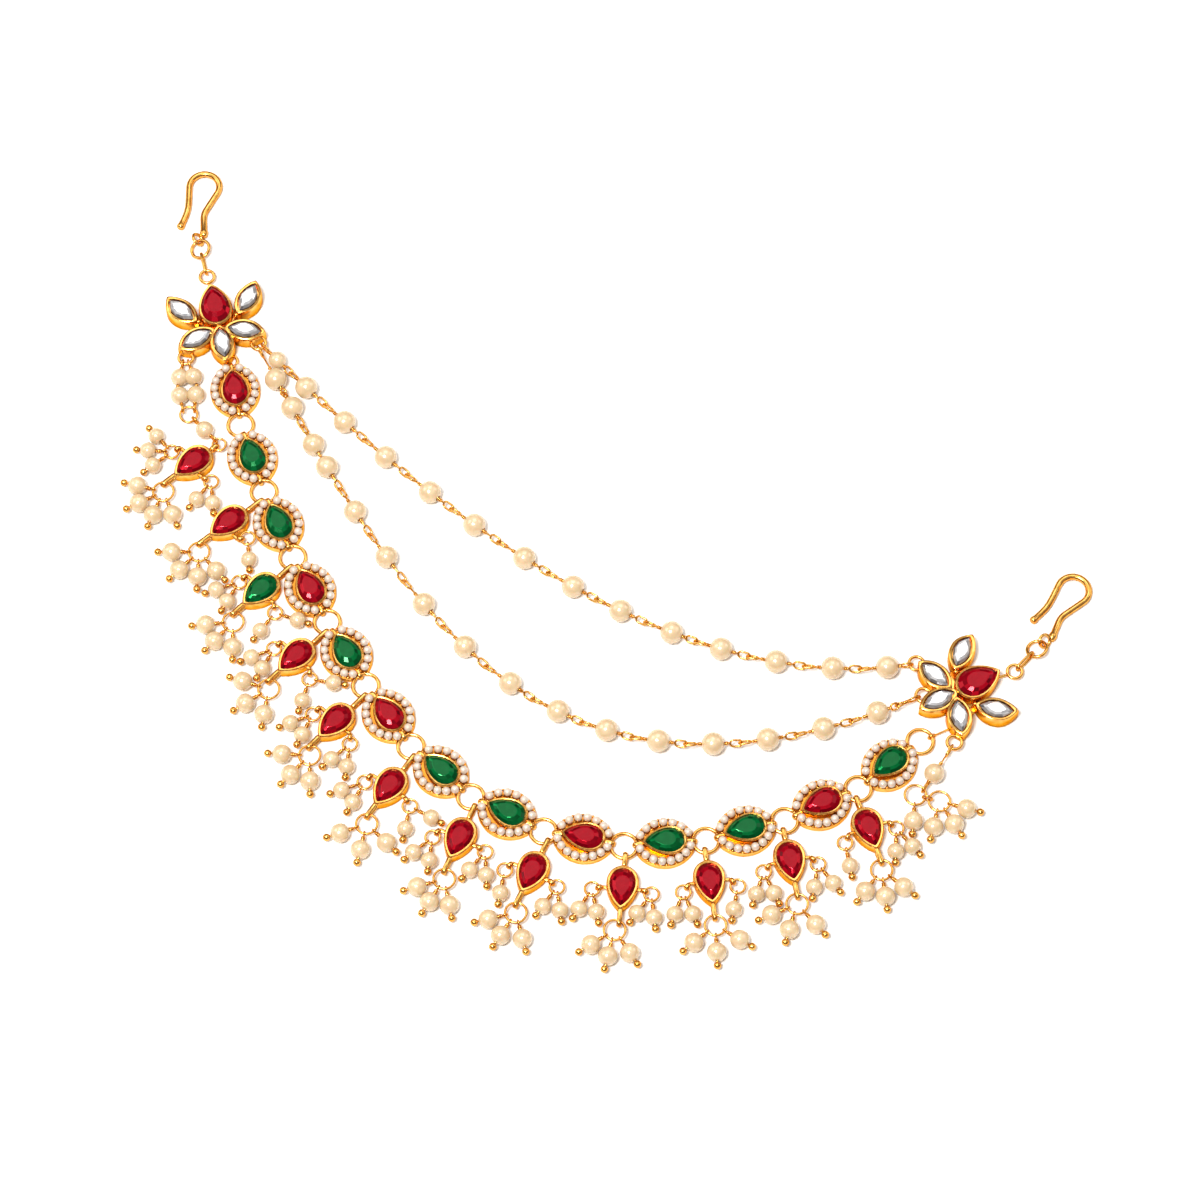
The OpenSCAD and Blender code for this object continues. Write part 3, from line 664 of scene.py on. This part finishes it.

# %% [markdown]
# ## The motifs
# A motif is an almond-shaped plate with a pear setting in the middle and a border of seed pearls.
# The plate is notched at both ends, so that the joining rings lie beside it, not on it. A boolean
# cuts the notches. Two struts run from the setting to upright loops of flattened wire, which take
# the rings. The top of the plate is marked for painted shade, brown between the seed pearls.


# %% One motif: plate, setting, struts and loops
def almond_plate():
    length, width = MOTIF_PLATE
    plate = wall(almond, [
        (length - 0.3, width - 0.3, 0), (length, width, 0.2), (length, width, PLATE_H - 0.25),
        (length - 0.2, width - 0.2, PLATE_H - 0.05), (length - 0.6, width - 0.6, PLATE_H),
    ], 64)
    notch = LINK_RING_R + LINK_WIRE / 2 + 1.5 * PLAY
    for side in (-1, 1):
        cutter = add(
            bpy.ops.mesh.primitive_cylinder_add, along(side * MOTIF_REACH), vertices=64,
            radius=notch * MM, depth=10 * MM)
        cut = plate.modifiers.new("notch", "BOOLEAN")
        cut.object = cutter
        cut.operation = "DIFFERENCE"
        bpy.context.view_layer.objects.active = plate
        bpy.ops.object.modifier_apply(modifier="notch")
        bpy.data.objects.remove(cutter)
    # Painted shade: every upward face of the plate is marked, so the plating paints it brown.
    marks = plate.data.attributes.new("recess", "FLOAT", "FACE")
    for face, mark in zip(plate.data.polygons, marks.data):
        mark.value = float(face.normal.z > 0.9)
    return plate


def motif():
    parts = [almond_plate(), copy(motif_setting, Matrix.Rotation(pi, 4, "Z"))]
    for a in (0, 180):
        side = along(a=a)
        parts.append(wire_ring(
            LOOP_R, LOOP_WIRE, side @ along(MOTIF_LOOP_X, z=LOW_Z) @ UPRIGHT @ STRAP, 28, 10))
        strut_place = side @ along(z=LOW_Z + LOOP_R) @ WIDE
        parts.append(wire_along(4.4, MOTIF_LOOP_X, MOTIF_STRUT, strut_place))
    return join(parts)


motif_gold = motif()
print("one motif has", len(motif_gold.data.polygons), "faces")

# %% [markdown]
# ## Seed pearls
# Seven seed pearls run along the upper edge of a motif and eight along the lower one, each
# cemented down between tiny gold grains that the setter raises from the plate. Hundreds are needed,
# so a seed pearl has only a few dozen faces and gets its roundness from smooth shading.

# %% Border of seed pearls and grains
SEED, SEED_Z = 2.05, PLATE_H + 0.7
ROWS = [(1, 7, 19), (-1, 8, 17.8)]


def border(offset, shift):
    """Places along both edges of a motif, for each row: (x, y)."""
    length, width = MOTIF_PLATE
    r = (length ** 2 + width ** 2) / (4 * width)
    for side, count, step in ROWS:
        for k in range(count + (1 if shift else 0)):
            a = 90 + step * (k - (count - 1) / 2 - shift)
            spot = (r + offset) * way(a)
            yield spot.x, side * (spot.y - r + width / 2)


def ball(d, place, around=12, rings=8):
    grain = add(
        bpy.ops.mesh.primitive_uv_sphere_add, place, segments=around, ring_count=rings,
        radius=d / 2 * MM)
    bpy.ops.object.shade_smooth()
    return grain


def cemented_seed(place):
    """A seed pearl, whose underside is flattened where it is cemented down."""
    bead = ball(SEED, Matrix())
    edit(bead, lambda corner: corner.z < -0.55 * SEED / 2 * MM)
    bpy.ops.transform.resize(value=(0.9, 0.9, 0.3), center_override=(0, 0, -0.55 * SEED / 2 * MM))
    bpy.ops.object.mode_set(mode="OBJECT")
    bead.data.transform(place)
    return bead


SEEDS_IN = -1.12
GRAIN_ROWS = [(0.62, -0.35), (0.56, -1.95)]
GRAIN_Z = PLATE_H + 0.12
seed_border = join([cemented_seed(along(x, y, SEED_Z)) for x, y in border(SEEDS_IN, 0)])
grains = [
    ball(d, along(x, y, GRAIN_Z), 8, 6)
    for d, offset in GRAIN_ROWS for x, y in border(offset, 0.5)]
motif_gold = join([motif_gold] + grains)
print("a border has", len(seed_border.data.polygons), "faces")

# %% [markdown]
# ## Thirteen motifs
# The finished motif is copied along the chain. The stones point the other way, towards the left
# flower, and five of them are red.

# %% Copy the motif along the chain
for i, a in enumerate(MOTIF_WAYS):
    number = f"{i + 1:02d}"
    place = seat(motif_at(i), a)
    show(copy(motif_gold, place), f"motif_{number}_setting", gold, "gold_plate", f"motif_{number}")
    show(copy(seed_border, place), f"motif_{number}_seed_pearls", seed, "pearl")
    red = i in RED_MOTIFS
    stone = copy(pear_stone, seat(motif_at(i), a + 180, SETTING_H - RIM_OVER_GIRDLE))
    show(stone, f"motif_{number}_pear_stone", ruby if red else emerald,
         "red_stone" if red else "green_stone", f"motif_stone_{number}")

# %% [markdown]
# ## The rings between the motifs
# Plain round jump rings join the motifs, and a smaller one starts the row of drops. A jump ring is
# cut from a coil of wire and closed again so well that no seam shows, so a torus is all it needs.

# %% Joining rings
rings = [wire_ring(LINK_RING_R, JOIN_WIRE, seat(ring_at(i), 0, LOW_Z), 48, 12) for i in range(13)]
rings.append(
    wire_ring(FIRST_DROP_RING_R, SPRAY_WIRE, seat(FIRST_DROP_RING, 0, FIRST_RING_Z), 32, 10))
show(join(rings), "joining_rings", gold_wire, "gold_plate", "motif_rings")

# %% [markdown]
# ## The drops
# A drop is a deeper pear setting that hangs blunt end up. Its bail is a long narrow loop of wire
# over the joining ring, and three smaller loops, at the tip and at the sides, carry the pearl
# sprays. The loops turn to wherever their rings hang, so each drop is bent up from its own row of
# the table.


# %% One drop
def drop(i):
    _, a, reach, _, left, right = DROPS[i]
    length = DROP[0]
    bail_z = FIRST_RING_Z if i == 0 else LOW_Z
    bail_straight = max(reach + BAIL_OVER - length / 2 - 0.9, 0.1)
    parts = [copy(drop_setting, Matrix())]
    parts.append(oval_ring(
        LOOP_R, bail_straight, LOOP_WIRE,
        along(-reach - BAIL_OVER, z=bail_z) @ UPRIGHT @ STRAP))
    parts.append(wire_along(
        -length / 2 - 0.4, -length / 2 + 0.6, DROP_STRUT, along(z=bail_z) @ WIDE))
    tip_straight = DROP_LOOP_X + BAIL_OVER - length / 2 - 0.3
    parts.append(oval_ring(
        LOOP_R, tip_straight, LOOP_WIRE,
        along(length / 2 + 0.3, z=SPRAY_Z) @ UPRIGHT @ STRAP))
    parts.append(wire_along(length / 2 - 1.2, length / 2, DROP_STRUT, along(z=SPRAY_Z) @ WIDE))
    for side, fan in ((-1, left), (1, right)):
        if len(fan) < 2:
            continue
        hang = fan[0] - a
        strut = SIDE_LOOP_Y - SIDE_LOOP_R * abs(sin(radians(hang))) - SIDE_WALL
        loop = along(SIDE_LOOP_X, side * SIDE_LOOP_Y, SPRAY_Z, hang)
        parts.append(wire_ring(SIDE_LOOP_R, SIDE_LOOP_WIRE, loop @ UPRIGHT @ STRAP, 24, 8))
        back = loop @ along(-SIDE_LOOP_R, a=-hang - side * 90)
        parts.append(wire_along(0, strut, SIDE_STRUT, back @ WIDE))
    return join(parts)


# %% [markdown]
# ## Twelve drops
# Every drop gets a copy of the same pear stone, tip down. One of them is green, so that the row
# echoes the motifs.

# %% Hang the drops
red_stones = []
for i, row in enumerate(DROPS):
    number = f"{i + 1:02d}"
    piece = drop(i)
    piece.data.transform(seat(drop_at(i), row[1]))
    show(piece, f"drop_{number}_setting", gold, "gold_plate", f"drop_{number}")
    stone = copy(pear_stone, seat(drop_at(i), row[1], SETTING_H - RIM_OVER_GIRDLE))
    if i == GREEN_DROP:
        show(stone, "drop_green_stone", emerald, "green_stone", "drop_stone_green")
    else:
        red_stones.append(stone)
show(join(red_stones), "drop_red_stones", ruby, "red_stone", "drop_stones_red")

# %% [markdown]
# ## Pearls and their pins
# Each pearl is drilled, so the sphere's two poles are cut off and the edge is turned inwards. A pin
# has a small eye bent round its ring, a few turns of fine wire to close it, then the pearl, and a
# polished ball below.


# %% Drilled pearl and spray pin
def drilled_pearl(d, around=26, rings=16):
    bead = ball(d, ACROSS, around, rings)
    r = d / 2 * MM
    hole = 0.48 * MM
    for side in (-1, 1):
        edit(bead, lambda corner: True)
        bpy.ops.mesh.bisect(
            plane_co=(side * (r * r - hole * hole) ** 0.5, 0, 0), plane_no=(side, 0, 0),
            clear_outer=True)
        bpy.ops.mesh.extrude_region_move()
        bpy.ops.transform.translate(value=(-side * 0.5 * MM, 0, 0))
        bpy.ops.mesh.edge_face_add()
        leave(50)
    return bead


def spray_pin(ring_r, reach, pearl_d, gap):
    """A pin along X from the middle of its ring, with its eye, wraps and end ball."""
    ball_x = reach + pearl_d / 2 + gap + BALL / 2
    eye_out = ring_r + SPRAY_WIRE / 2 + 0.45
    room = reach - pearl_d / 2 - eye_out
    count = max(int(room / 0.3), 1)
    parts = [wire_ring(0.55, 0.44, along(ring_r + 0.05) @ UPRIGHT, 18, 8)]
    parts.append(wire_along(ring_r + 0.4, ball_x, PIN, corners=8))
    parts += wraps(eye_out, min(count, 3), 0.38, WRAP)
    parts.append(wire_ring(0.36, WRAP, along(reach - pearl_d / 2 - 0.05) @ ACROSS, 14, 6))
    parts.append(ball(BALL, along(ball_x) @ ACROSS, 16, 10))
    return join(parts)


tip_pin = spray_pin(TIP_RING_R, TIP_REACH, TIP_PEARL, PLAY)
side_pin = spray_pin(SIDE_RING_R, SIDE_REACH, SIDE_PEARL, -PLAY)
tip_pearl = drilled_pearl(TIP_PEARL)
side_pearl = drilled_pearl(SIDE_PEARL)
small_pearl = drilled_pearl(SMALL_PEARL)
strand_pearl = drilled_pearl(STRAND_PEARL, 32, 20)
print("a drilled pearl has", len(tip_pearl.data.polygons), "faces")

# %% [markdown]
# ## The sprays
# A spray is a ring with pins that fan out from it, each along its own way from the table. The pins
# are copies of one pin and the pearls copies of one pearl, as if from one bag of parts.


# %% Fan out the sprays
def fan_out(centre, z, ways, ring_r, pin, bead, reach, metal, beads):
    """A ring with its pins and pearls, gathered into two lists."""
    metal.append(wire_ring(ring_r, SPRAY_WIRE, seat(centre, 0, z), 36, 10))
    for a in ways:
        place = seat(centre, a, z)
        metal.append(copy(pin, place))
        beads.append(copy(bead, place @ along(reach)))


metal, beads = [], []
for i, row in enumerate(DROPS):
    fan_out(tip_ring_at(i), SPRAY_Z, row[3][1:], TIP_RING_R, tip_pin, tip_pearl, TIP_REACH,
            metal, beads)
show(join(metal), "tip_spray_pins", gold_wire, "gold_plate", "spray_pins")
show(join(beads), "tip_spray_pearls", pearl, "pearl", "spray_pearls")

for side, hand in ((-1, "left"), (1, "right")):
    metal, beads = [], []
    for i, row in enumerate(DROPS):
        fan = side_fan(i, side)
        if len(fan) > 1:
            fan_out(side_ring_at(i, side), SPRAY_Z, fan[1:], SIDE_RING_R, side_pin, side_pearl,
                    SIDE_REACH, metal, beads)
    show(join(metal), f"{hand}_spray_pins", gold_wire, "gold_plate", f"spray_{hand}")
    show(join(beads), f"{hand}_spray_pearls", pearl, "pearl")

# %% [markdown]
# ## The two strands
# A strand is a row of eye pins, each with one pearl, whose eyes hook into each other. The beads are
# set out along a smooth curve at their measured gaps, and each pin points along the curve. Where
# two pearls almost touch, one pin carries both. A few turns of wire close each eye at its pearl.

# %% Where each bead sits on its curve
LAP = STRAND_WIRE + 0.16
LUG_LAP = (STRAND_WIRE + LINK_WIRE) / 2 + 0.14
ONE_PIN_GAP, EYE_STRAIGHT, KNOT = 2.2, 1.2, 0.9
CURVE_STEPS = 80


def on_curve(c, t):
    weights = ((1 - t) ** 3, 3 * t * (1 - t) ** 2, 3 * t * t * (1 - t), t ** 3)
    return sum((Vector(p) * w for p, w in zip(c, weights)), Vector((0, 0)))


def place_after(c, marks, s):
    """The point of a curve after a length s, from its list of (length, parameter)."""
    for (s0, t0), (s1, t1) in zip(marks, marks[1:]):
        if s <= s1:
            return on_curve(c, t0 + (t1 - t0) * max(s - s0, 0) / (s1 - s0))
    return on_curve(c, 1)


def pin_reach(gap, d, next_d):
    half = d / 2 + (gap - d / 2 - next_d / 2) / 2
    return (half, 0, 0) if gap - (d + next_d) / 2 < ONE_PIN_GAP else (half + LAP / 2, EYE_R, 45)


def string(curve, gaps, sizes, end_gap, chord=0.3):
    """For each bead of a string: its place, its way, its size, and its pin's two ends."""
    marks = [(0, 0)]
    for k in range(CURVE_STEPS):
        step = on_curve(curve, (k + 1) / CURVE_STEPS) - on_curve(curve, k / CURVE_STEPS)
        marks.append((marks[-1][0] + step.length, (k + 1) / CURVE_STEPS))
    stretch = marks[-1][0] / (sum(gaps) + end_gap)
    last, s = len(gaps) - 1, 0
    for i, (gap, d) in enumerate(zip(gaps, sizes)):
        s += stretch * gap
        start = on_curve(curve, 0) if i == 0 else place_after(curve, marks, s - chord)
        end = on_curve(curve, 1) if i == last else place_after(curve, marks, s + chord)
        before, after = stretch * gap, stretch * (end_gap if i == last else gaps[i + 1])
        back = (before + LUG_LAP, END_EYE_R, 90) if i == 0 else pin_reach(before, d, sizes[i - 1])
        front = (after + LUG_LAP, END_EYE_R, 90) if i == last else pin_reach(after, d, sizes[i + 1])
        a = degrees(atan2(end.y - start.y, end.x - start.x))
        yield place_after(curve, marks, s), a, d, back, front


# %% Eye pins, and strings of them
def eye_pin(back, front, d, place):
    parts, inner = [], []
    for a, (reach, r, tilt) in ((180, back), (0, front)):
        half = place @ along(a=a)
        if r == 0:
            inner.append(reach)
            if a == 0:
                parts.append(ball(KNOT, half @ along(reach)))
            continue
        straight = min(max(reach - 2 * r - d / 2 - 0.7, 0), EYE_STRAIGHT)
        turned = half @ Matrix.Rotation(radians(tilt), 4, "X")
        eye = turned @ along(reach - r - straight)
        parts.append(oval_ring(r, straight, STRAND_WIRE, eye, 24, 8))
        inner.append(reach - 2 * r - straight)
        room = inner[-1] - d / 2
        parts += wraps(d / 2 - 0.08, max(min(int(room / 0.32) + 1, 3), 1), 0.32, WRAP, half)
    parts.append(wire_along(-inner[0], inner[1], 0.48, place, 8))
    return parts


def threaded(strings, z, pearls):
    metal, beads = [], []
    for each in strings:
        for p, a, d, back, front in each:
            place = seat(p, a, z)
            metal += eye_pin(back, front, d, place)
            if d:
                beads.append(copy(pearls[d], place))
    return metal, beads


# %% The two strands
pearls = {
    STRAND_PEARL: strand_pearl, SMALL_PEARL: small_pearl, END_PEARL: drilled_pearl(END_PEARL)}
upper = string(UPPER_CURVE, UPPER_GAPS, [SMALL_PEARL] + [STRAND_PEARL] * 13, UPPER_END_GAP, 4)
metal, beads = threaded([upper], STRAND_Z, pearls)
show(join(metal), "upper_strand_pins", gold_wire, "gold_plate", "strand_upper_pins")
show(join(beads), "upper_strand_pearls", pearl, "pearl", "strand_upper_pearls")
lower = string(LOWER_CURVE, LOWER_GAPS, [STRAND_PEARL] * 16 + [0], LOWER_END_GAP, 4)
metal, beads = threaded([lower], STRAND_Z, pearls)
show(join(metal), "lower_strand_pins", gold_wire, "gold_plate", "strand_lower_pins")
show(join(beads), "lower_strand_pearls", pearl, "pearl", "strand_lower_pearls")

# %% [markdown]
# ## The tassels
# At the left end two short strings meet in one ring, and a third crosses from there to the ring of
# the first drop. At the right end one string carries two rings, joined by a small upright one.

# %% Tassels at the two ends
pair = [SMALL_PEARL, SMALL_PEARL]
metal, beads = threaded([
    string(LEFT_STRING, [4, 5.2], pair, 4), string(RIGHT_STRING, [4, 5.2], pair, 4),
    string(CROSS_STRING, [3.7], [SMALL_PEARL], 3.7)], LUG_Z, pearls)
more_metal, more_beads = threaded([string(END_STRING, [7.4], [END_PEARL], 4.6)], END_Z, pearls)
metal, beads = metal + more_metal, beads + more_beads
metal.append(wire_ring(GATHER_RING_R, SPRAY_WIRE, seat(GATHER_RING, 0, LUG_Z)))
for p, fan in END_RINGS:
    fan_out(p, END_Z, fan, END_RING_R, tip_pin, tip_pearl, TIP_REACH, metal, beads)
(x0, y0), (x1, y1) = (p for p, _ in END_RINGS)
link = seat(((x0 + x1) / 2, (y0 + y1) / 2), END_RINGS_WAY, END_Z)
metal.append(wire_ring(END_LINK_R, END_LINK_WIRE, link @ UPRIGHT))
show(join(metal), "tassel_pins", gold_wire, "gold_plate", "tassel_pins")
show(join(beads), "tassel_pearls", pearl, "pearl", "tassel_pearls")

# %% [markdown]
# ## The flowers
# Each end has a flower cast in one piece: a pear setting for the middle stone, five almond petals
# with clear stones, and a disc behind that holds them together. The two petals beside the tip curl
# like claws. They are drawn up straight like the others, and then their corners are moved sideways
# by a little more the nearer they are to the point. Their stones get the same curl.

# %% Petals
# How far the points of the first and the last petal bend sideways
CURLS = {0: -0.9, 4: 0.9}
PETAL_BALLS = [(-3.4, 4.7), (-3.4, -4.7), (-7.3, 2.3), (-7.3, -2.3)]
PETAL_BALL, PETAL_BALL_Z = 1.3, 3


def curl(piece, amount, start=1.5):
    """Bends the pointed end of a petal sideways."""
    end = PETAL[0] / 2
    for corner in piece.data.vertices:
        x = corner.co.x / MM
        if x > start:
            corner.co.y += amount * ((x - start) / (end - start)) ** 2 * MM
    return piece


def petal_setting(height):
    length, width = PETAL
    inner_l, inner_w = PETAL_STONE[0] + 0.5, PETAL_STONE[1] + 0.3
    return wall(almond, [
        (length - 0.6, width - 0.6, 0),
        (length, width, 0.5),
        (length, width, height - 0.9),
        (length - 0.15, width - 0.15, height - 0.45),
        (length - 0.55, width - 0.5, height - 0.12),
        (length - 1.05, width - 0.9, height - 0.02),
        (inner_l + 0.15, inner_w + 0.1, height - 0.08),
        (inner_l - 0.1, inner_w - 0.1, height - 0.28),
        (inner_l, inner_w, height - 0.6),
        (inner_l, inner_w, height - CUP_DEPTH),
    ])


# %% Casting a flower
def flower(end, lugs):
    middle = seat(end, end[2])
    parts = [pear_setting(*CENTRE, 0, FLOWER_H, CENTRE_STONE)]
    for k, (x, y, a, low) in enumerate(PETALS):
        petal = curl(petal_setting(FLOWER_H - low), CURLS.get(k, 0))
        petal.data.transform(along(x, y, 0, a))
        parts.append(petal)
    disc = add(
        bpy.ops.mesh.primitive_cylinder_add, along(BASE_X, z=BASE_H / 2), vertices=48,
        radius=BASE_R * MM, depth=BASE_H * MM)
    edit(disc, lambda corner: True)
    bpy.ops.mesh.bevel(offset=0.25 * MM, segments=2, affect="EDGES")
    leave()
    parts.append(disc)
    for x, y in PETAL_BALLS:
        parts.append(ball(PETAL_BALL, along(x, y, PETAL_BALL_Z)))
    for part in parts:
        part.data.transform(middle)
    for lug in lugs:
        back = degrees(atan2(end[1] - lug[1], end[0] - lug[0]))
        parts.append(wire_ring(LUG_R, LINK_WIRE, seat(lug, 0, lug[2]), 32, 10))
        parts.append(wire_along(LUG_R, LUG_R + LUG_STEM, 0.7, seat(lug, back, lug[2] - 0.25)))
    if end is RIGHT:
        place = seat(ring_at(12), LAST_RING_WAY, LOW_Z)
        parts.append(wire_ring(LOOP_R, LOOP_WIRE, place @ along(LINK_RING_R) @ UPRIGHT, 28, 10))
        stem = LINK_RING_R + LOOP_R
        parts.append(wire_along(stem, stem + LAST_STEM, SIDE_STRUT, place))
    return join(parts)


# %% The two flowers and their stones
petal_stones = []
for end, lugs, hand in ((LEFT, LEFT_LUGS, "left"), (RIGHT, RIGHT_LUGS, "right")):
    show(flower(end, lugs), f"flower_{hand}_setting", gold, "gold_plate", f"flower_{hand}")
    stone = copy(centre_stone, seat(end, end[2], FLOWER_H - RIM_OVER_GIRDLE))
    show(stone, f"flower_{hand}_pear_stone", ruby, "red_stone", f"flower_stone_{hand}")
    for k, (x, y, a, low) in enumerate(PETALS):
        stone = curl(copy(petal_stone, Matrix()), CURLS.get(k, 0))
        stone.data.transform(
            seat(end, end[2]) @ along(x, y, FLOWER_H - low - RIM_OVER_GIRDLE, a))
        petal_stones.append(stone)
show(join(petal_stones), "petal_clear_stones", clear, "clear_stone", "petal_stones")

# %% [markdown]
# ## The hooks
# A hook is one length of thick wire. It starts as a circle that is extruded along its path: a plain
# extrusion where the wire is straight, and a spin round the middle of the bend where it turns. The
# collar at the eye and the rounded tip are the same circle, resized between short extrusions.


# %% Bending a wire along a path
def draw_wire(path, wire, collar, tip, corners=16):
    rod = add(bpy.ops.mesh.primitive_circle_add, ACROSS, vertices=corners, radius=wire / 2 * MM)
    x, size = collar[0]
    rod.data.transform(along(x) @ Matrix.Scale(size, 4))
    edit(rod, lambda corner: True)
    for next_x, next_size in collar[1:]:
        bpy.ops.mesh.extrude_region_move()
        bpy.ops.transform.translate(value=((next_x - x) * MM, 0, 0))
        bpy.ops.transform.resize(
            value=(1, next_size / size, next_size / size), center_override=(0, 0, 0))
        x, size = next_x, next_size
    p, a = Vector((x, 0)), 0
    for k, (r, turn) in enumerate(path):
        if r == 0:
            step = (turn - x if k == 0 else turn) * way(a)
            bpy.ops.mesh.extrude_region_move()
            bpy.ops.transform.translate(value=(step.x * MM, step.y * MM, 0))
            p = p + step
        else:
            side = 1 if turn > 0 else -1
            hub = p + side * r * way(a + 90)
            bpy.ops.mesh.spin(
                steps=ceil(abs(turn) / 9), angle=radians(-turn), center=(hub.x * MM, hub.y * MM, 0),
                axis=(0, 0, 1))
            a += turn
            p = hub - side * r * way(a + 90)
    x, size = tip[0]
    for next_x, next_size in tip[1:]:
        step = (next_x - x) * way(a)
        bpy.ops.mesh.extrude_region_move()
        bpy.ops.transform.translate(value=(step.x * MM, step.y * MM, 0))
        p = p + step
        bpy.ops.transform.resize(
            value=[next_size / size] * 3, center_override=(p.x * MM, p.y * MM, 0))
        x, size = next_x, next_size
    bpy.ops.mesh.edge_face_add()
    leave(60)
    edit(rod, lambda corner: corner.x < (collar[0][0] + 0.05) * MM and abs(corner.y) < wire * MM)
    bpy.ops.mesh.edge_face_add()
    leave(60)
    return rod


# %% The two hooks and their links
COLLAR = [(-1.2, 0.7), (-0.7, 1.1), (0, 1.3), (0.5, 1.2), (0.9, 1)]
TIP = [(0, 1), (0.4, 1.15), (0.9, 1.2), (1.3, 1), (1.5, 0.6)]
HOOK_LINK_R, HOOK_LINK_WIRE = 0.95, 0.7
eye_x = RING_FROM_LUG + CHAIN_RING_R + HOOK_EYE_R - CHAIN_WIRE - 2 * PLAY
links = []
for end, lug, hand in ((LEFT, LEFT_LUGS[0], "left"), (RIGHT, RIGHT_LUGS[0], "right")):
    links_way, hook_way, shank_way = end[3:]
    chain = seat(lug, links_way)
    shank = draw_wire(HOOK, HOOK_WIRE, COLLAR, TIP)
    from_eye = chain @ along(eye_x, z=HOOK_Z, a=shank_way - links_way)
    shank.data.transform(from_eye @ along(SHANK_FROM_EYE, a=hook_way - shank_way))
    eye_place = chain @ along(eye_x, z=CHAIN_Z, tilt=EYE_TURN)
    eye_ring = wire_ring(HOOK_EYE_R, CHAIN_WIRE, eye_place, 36, 12)
    show(join([shank, eye_ring]), f"hook_{hand}_wire", gold_wire, "gold_plate", f"hook_{hand}")
    near = LUG_R - (LINK_WIRE + HOOK_LINK_WIRE) / 2 - 1.5 * PLAY
    far = RING_FROM_LUG - CHAIN_RING_R + (CHAIN_WIRE + HOOK_LINK_WIRE) / 2 + 1.5 * PLAY
    links.append(oval_ring(
        HOOK_LINK_R, far - near - 2 * HOOK_LINK_R, HOOK_LINK_WIRE,
        chain @ along(near + HOOK_LINK_R, z=CHAIN_Z, tilt=LINK_TURN), 32, 12))
    links.append(wire_ring(
        CHAIN_RING_R, CHAIN_WIRE, chain @ along(RING_FROM_LUG, z=CHAIN_Z, tilt=RING_TURN), 40, 12))
show(join(links), "hook_chain_links", gold_wire, "gold_plate", "hook_links")

# %% [markdown]
# ## Tidy the bench
# The models that were only copied from are put away, so that they are neither drawn nor exported.

# %% Put the patterns away
patterns = [
    pear_stone, centre_stone, petal_stone, motif_setting, drop_setting, motif_gold, seed_border,
    tip_pin, side_pin, tip_pearl, side_pearl] + list(pearls.values())
for pattern in patterns:
    bpy.data.objects.remove(pattern)

# %% [markdown]
# ## Table and light
# The chain lies on white card. Bright metal is only as good as what it mirrors: a pure white room
# makes gold look like butter. So the room is warm at the height of the table, dark brown above that
# and pale overhead, and four soft lights draw the highlights. A small strong one beside the camera
# puts the glint on each pearl, and large ones behind and on both sides brighten rims and wires.

# %% Table
floor = add(bpy.ops.mesh.primitive_plane_add, size=6)
card = material("white_card")
surface(
    card, {"Roughness": 0.9, "Specular IOR Level": 0.1},
    {"Base Color": ramp(card, noise(card, 0.6, 2), [(0.3, "F6F5F3"), (0.7, "F9F8F6")])})
floor.name = "floor"
floor.data.materials.append(card)
floor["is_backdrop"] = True


# %% Lights
def softbox(name, place, size, power):
    """A square white light that faces the middle of the chain."""
    spot = Vector(place)
    bpy.ops.object.light_add(
        type="AREA", location=spot, rotation=(-spot).to_track_quat("-Z", "Y").to_euler())
    light = bpy.context.object
    light.name = name
    light.data.shape = "SQUARE"
    light.data.size = size
    light.data.energy = power


softbox("softbox_by_camera", (-0.25, -0.35, 1.1), 0.26, 14)
softbox("softbox_behind", (0, 0.5, 1.05), 0.7, 3.5)
softbox("softbox_left", (-1.0, 0.3, 0.8), 0.7, 3.5)
softbox("softbox_right", (1.0, 0.4, 0.7), 0.6, 2)

# %% Room
room = bpy.data.worlds.new("studio")
room.use_nodes = True
room.node_tree.nodes.clear()
bpy.context.scene.world = room
around = node(room, "ShaderNodeTexCoord").outputs["Generated"]
height = node(room, "ShaderNodeSeparateXYZ", links={"Vector": around}).outputs["Z"]
light_of_room = ramp(
    room, height, [(0.0, "C8B8A4"), (0.3, "6A5448"), (0.6, "A8A09A"), (0.85, "C8C6C4")])
sky = node(room, "ShaderNodeBackground", {"Strength": 0.82}, {"Color": light_of_room})
node(room, "ShaderNodeOutputWorld", links={"Surface": sky.outputs["Background"]})
bpy.context.scene.view_settings.view_transform = "Standard"

# %% [markdown]
# ## Measure against the solid model
# The dressed model is measured against the solid model's box, and how far it has grown on each side
# is printed.

# %% Boxes and finish
now_low, now_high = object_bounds()
pairs = zip((*now_low, *now_high), (*cad_low, *cad_high))
print("grown by (mm):", [round((now - cad) / MM, 2) for now, cad in pairs])
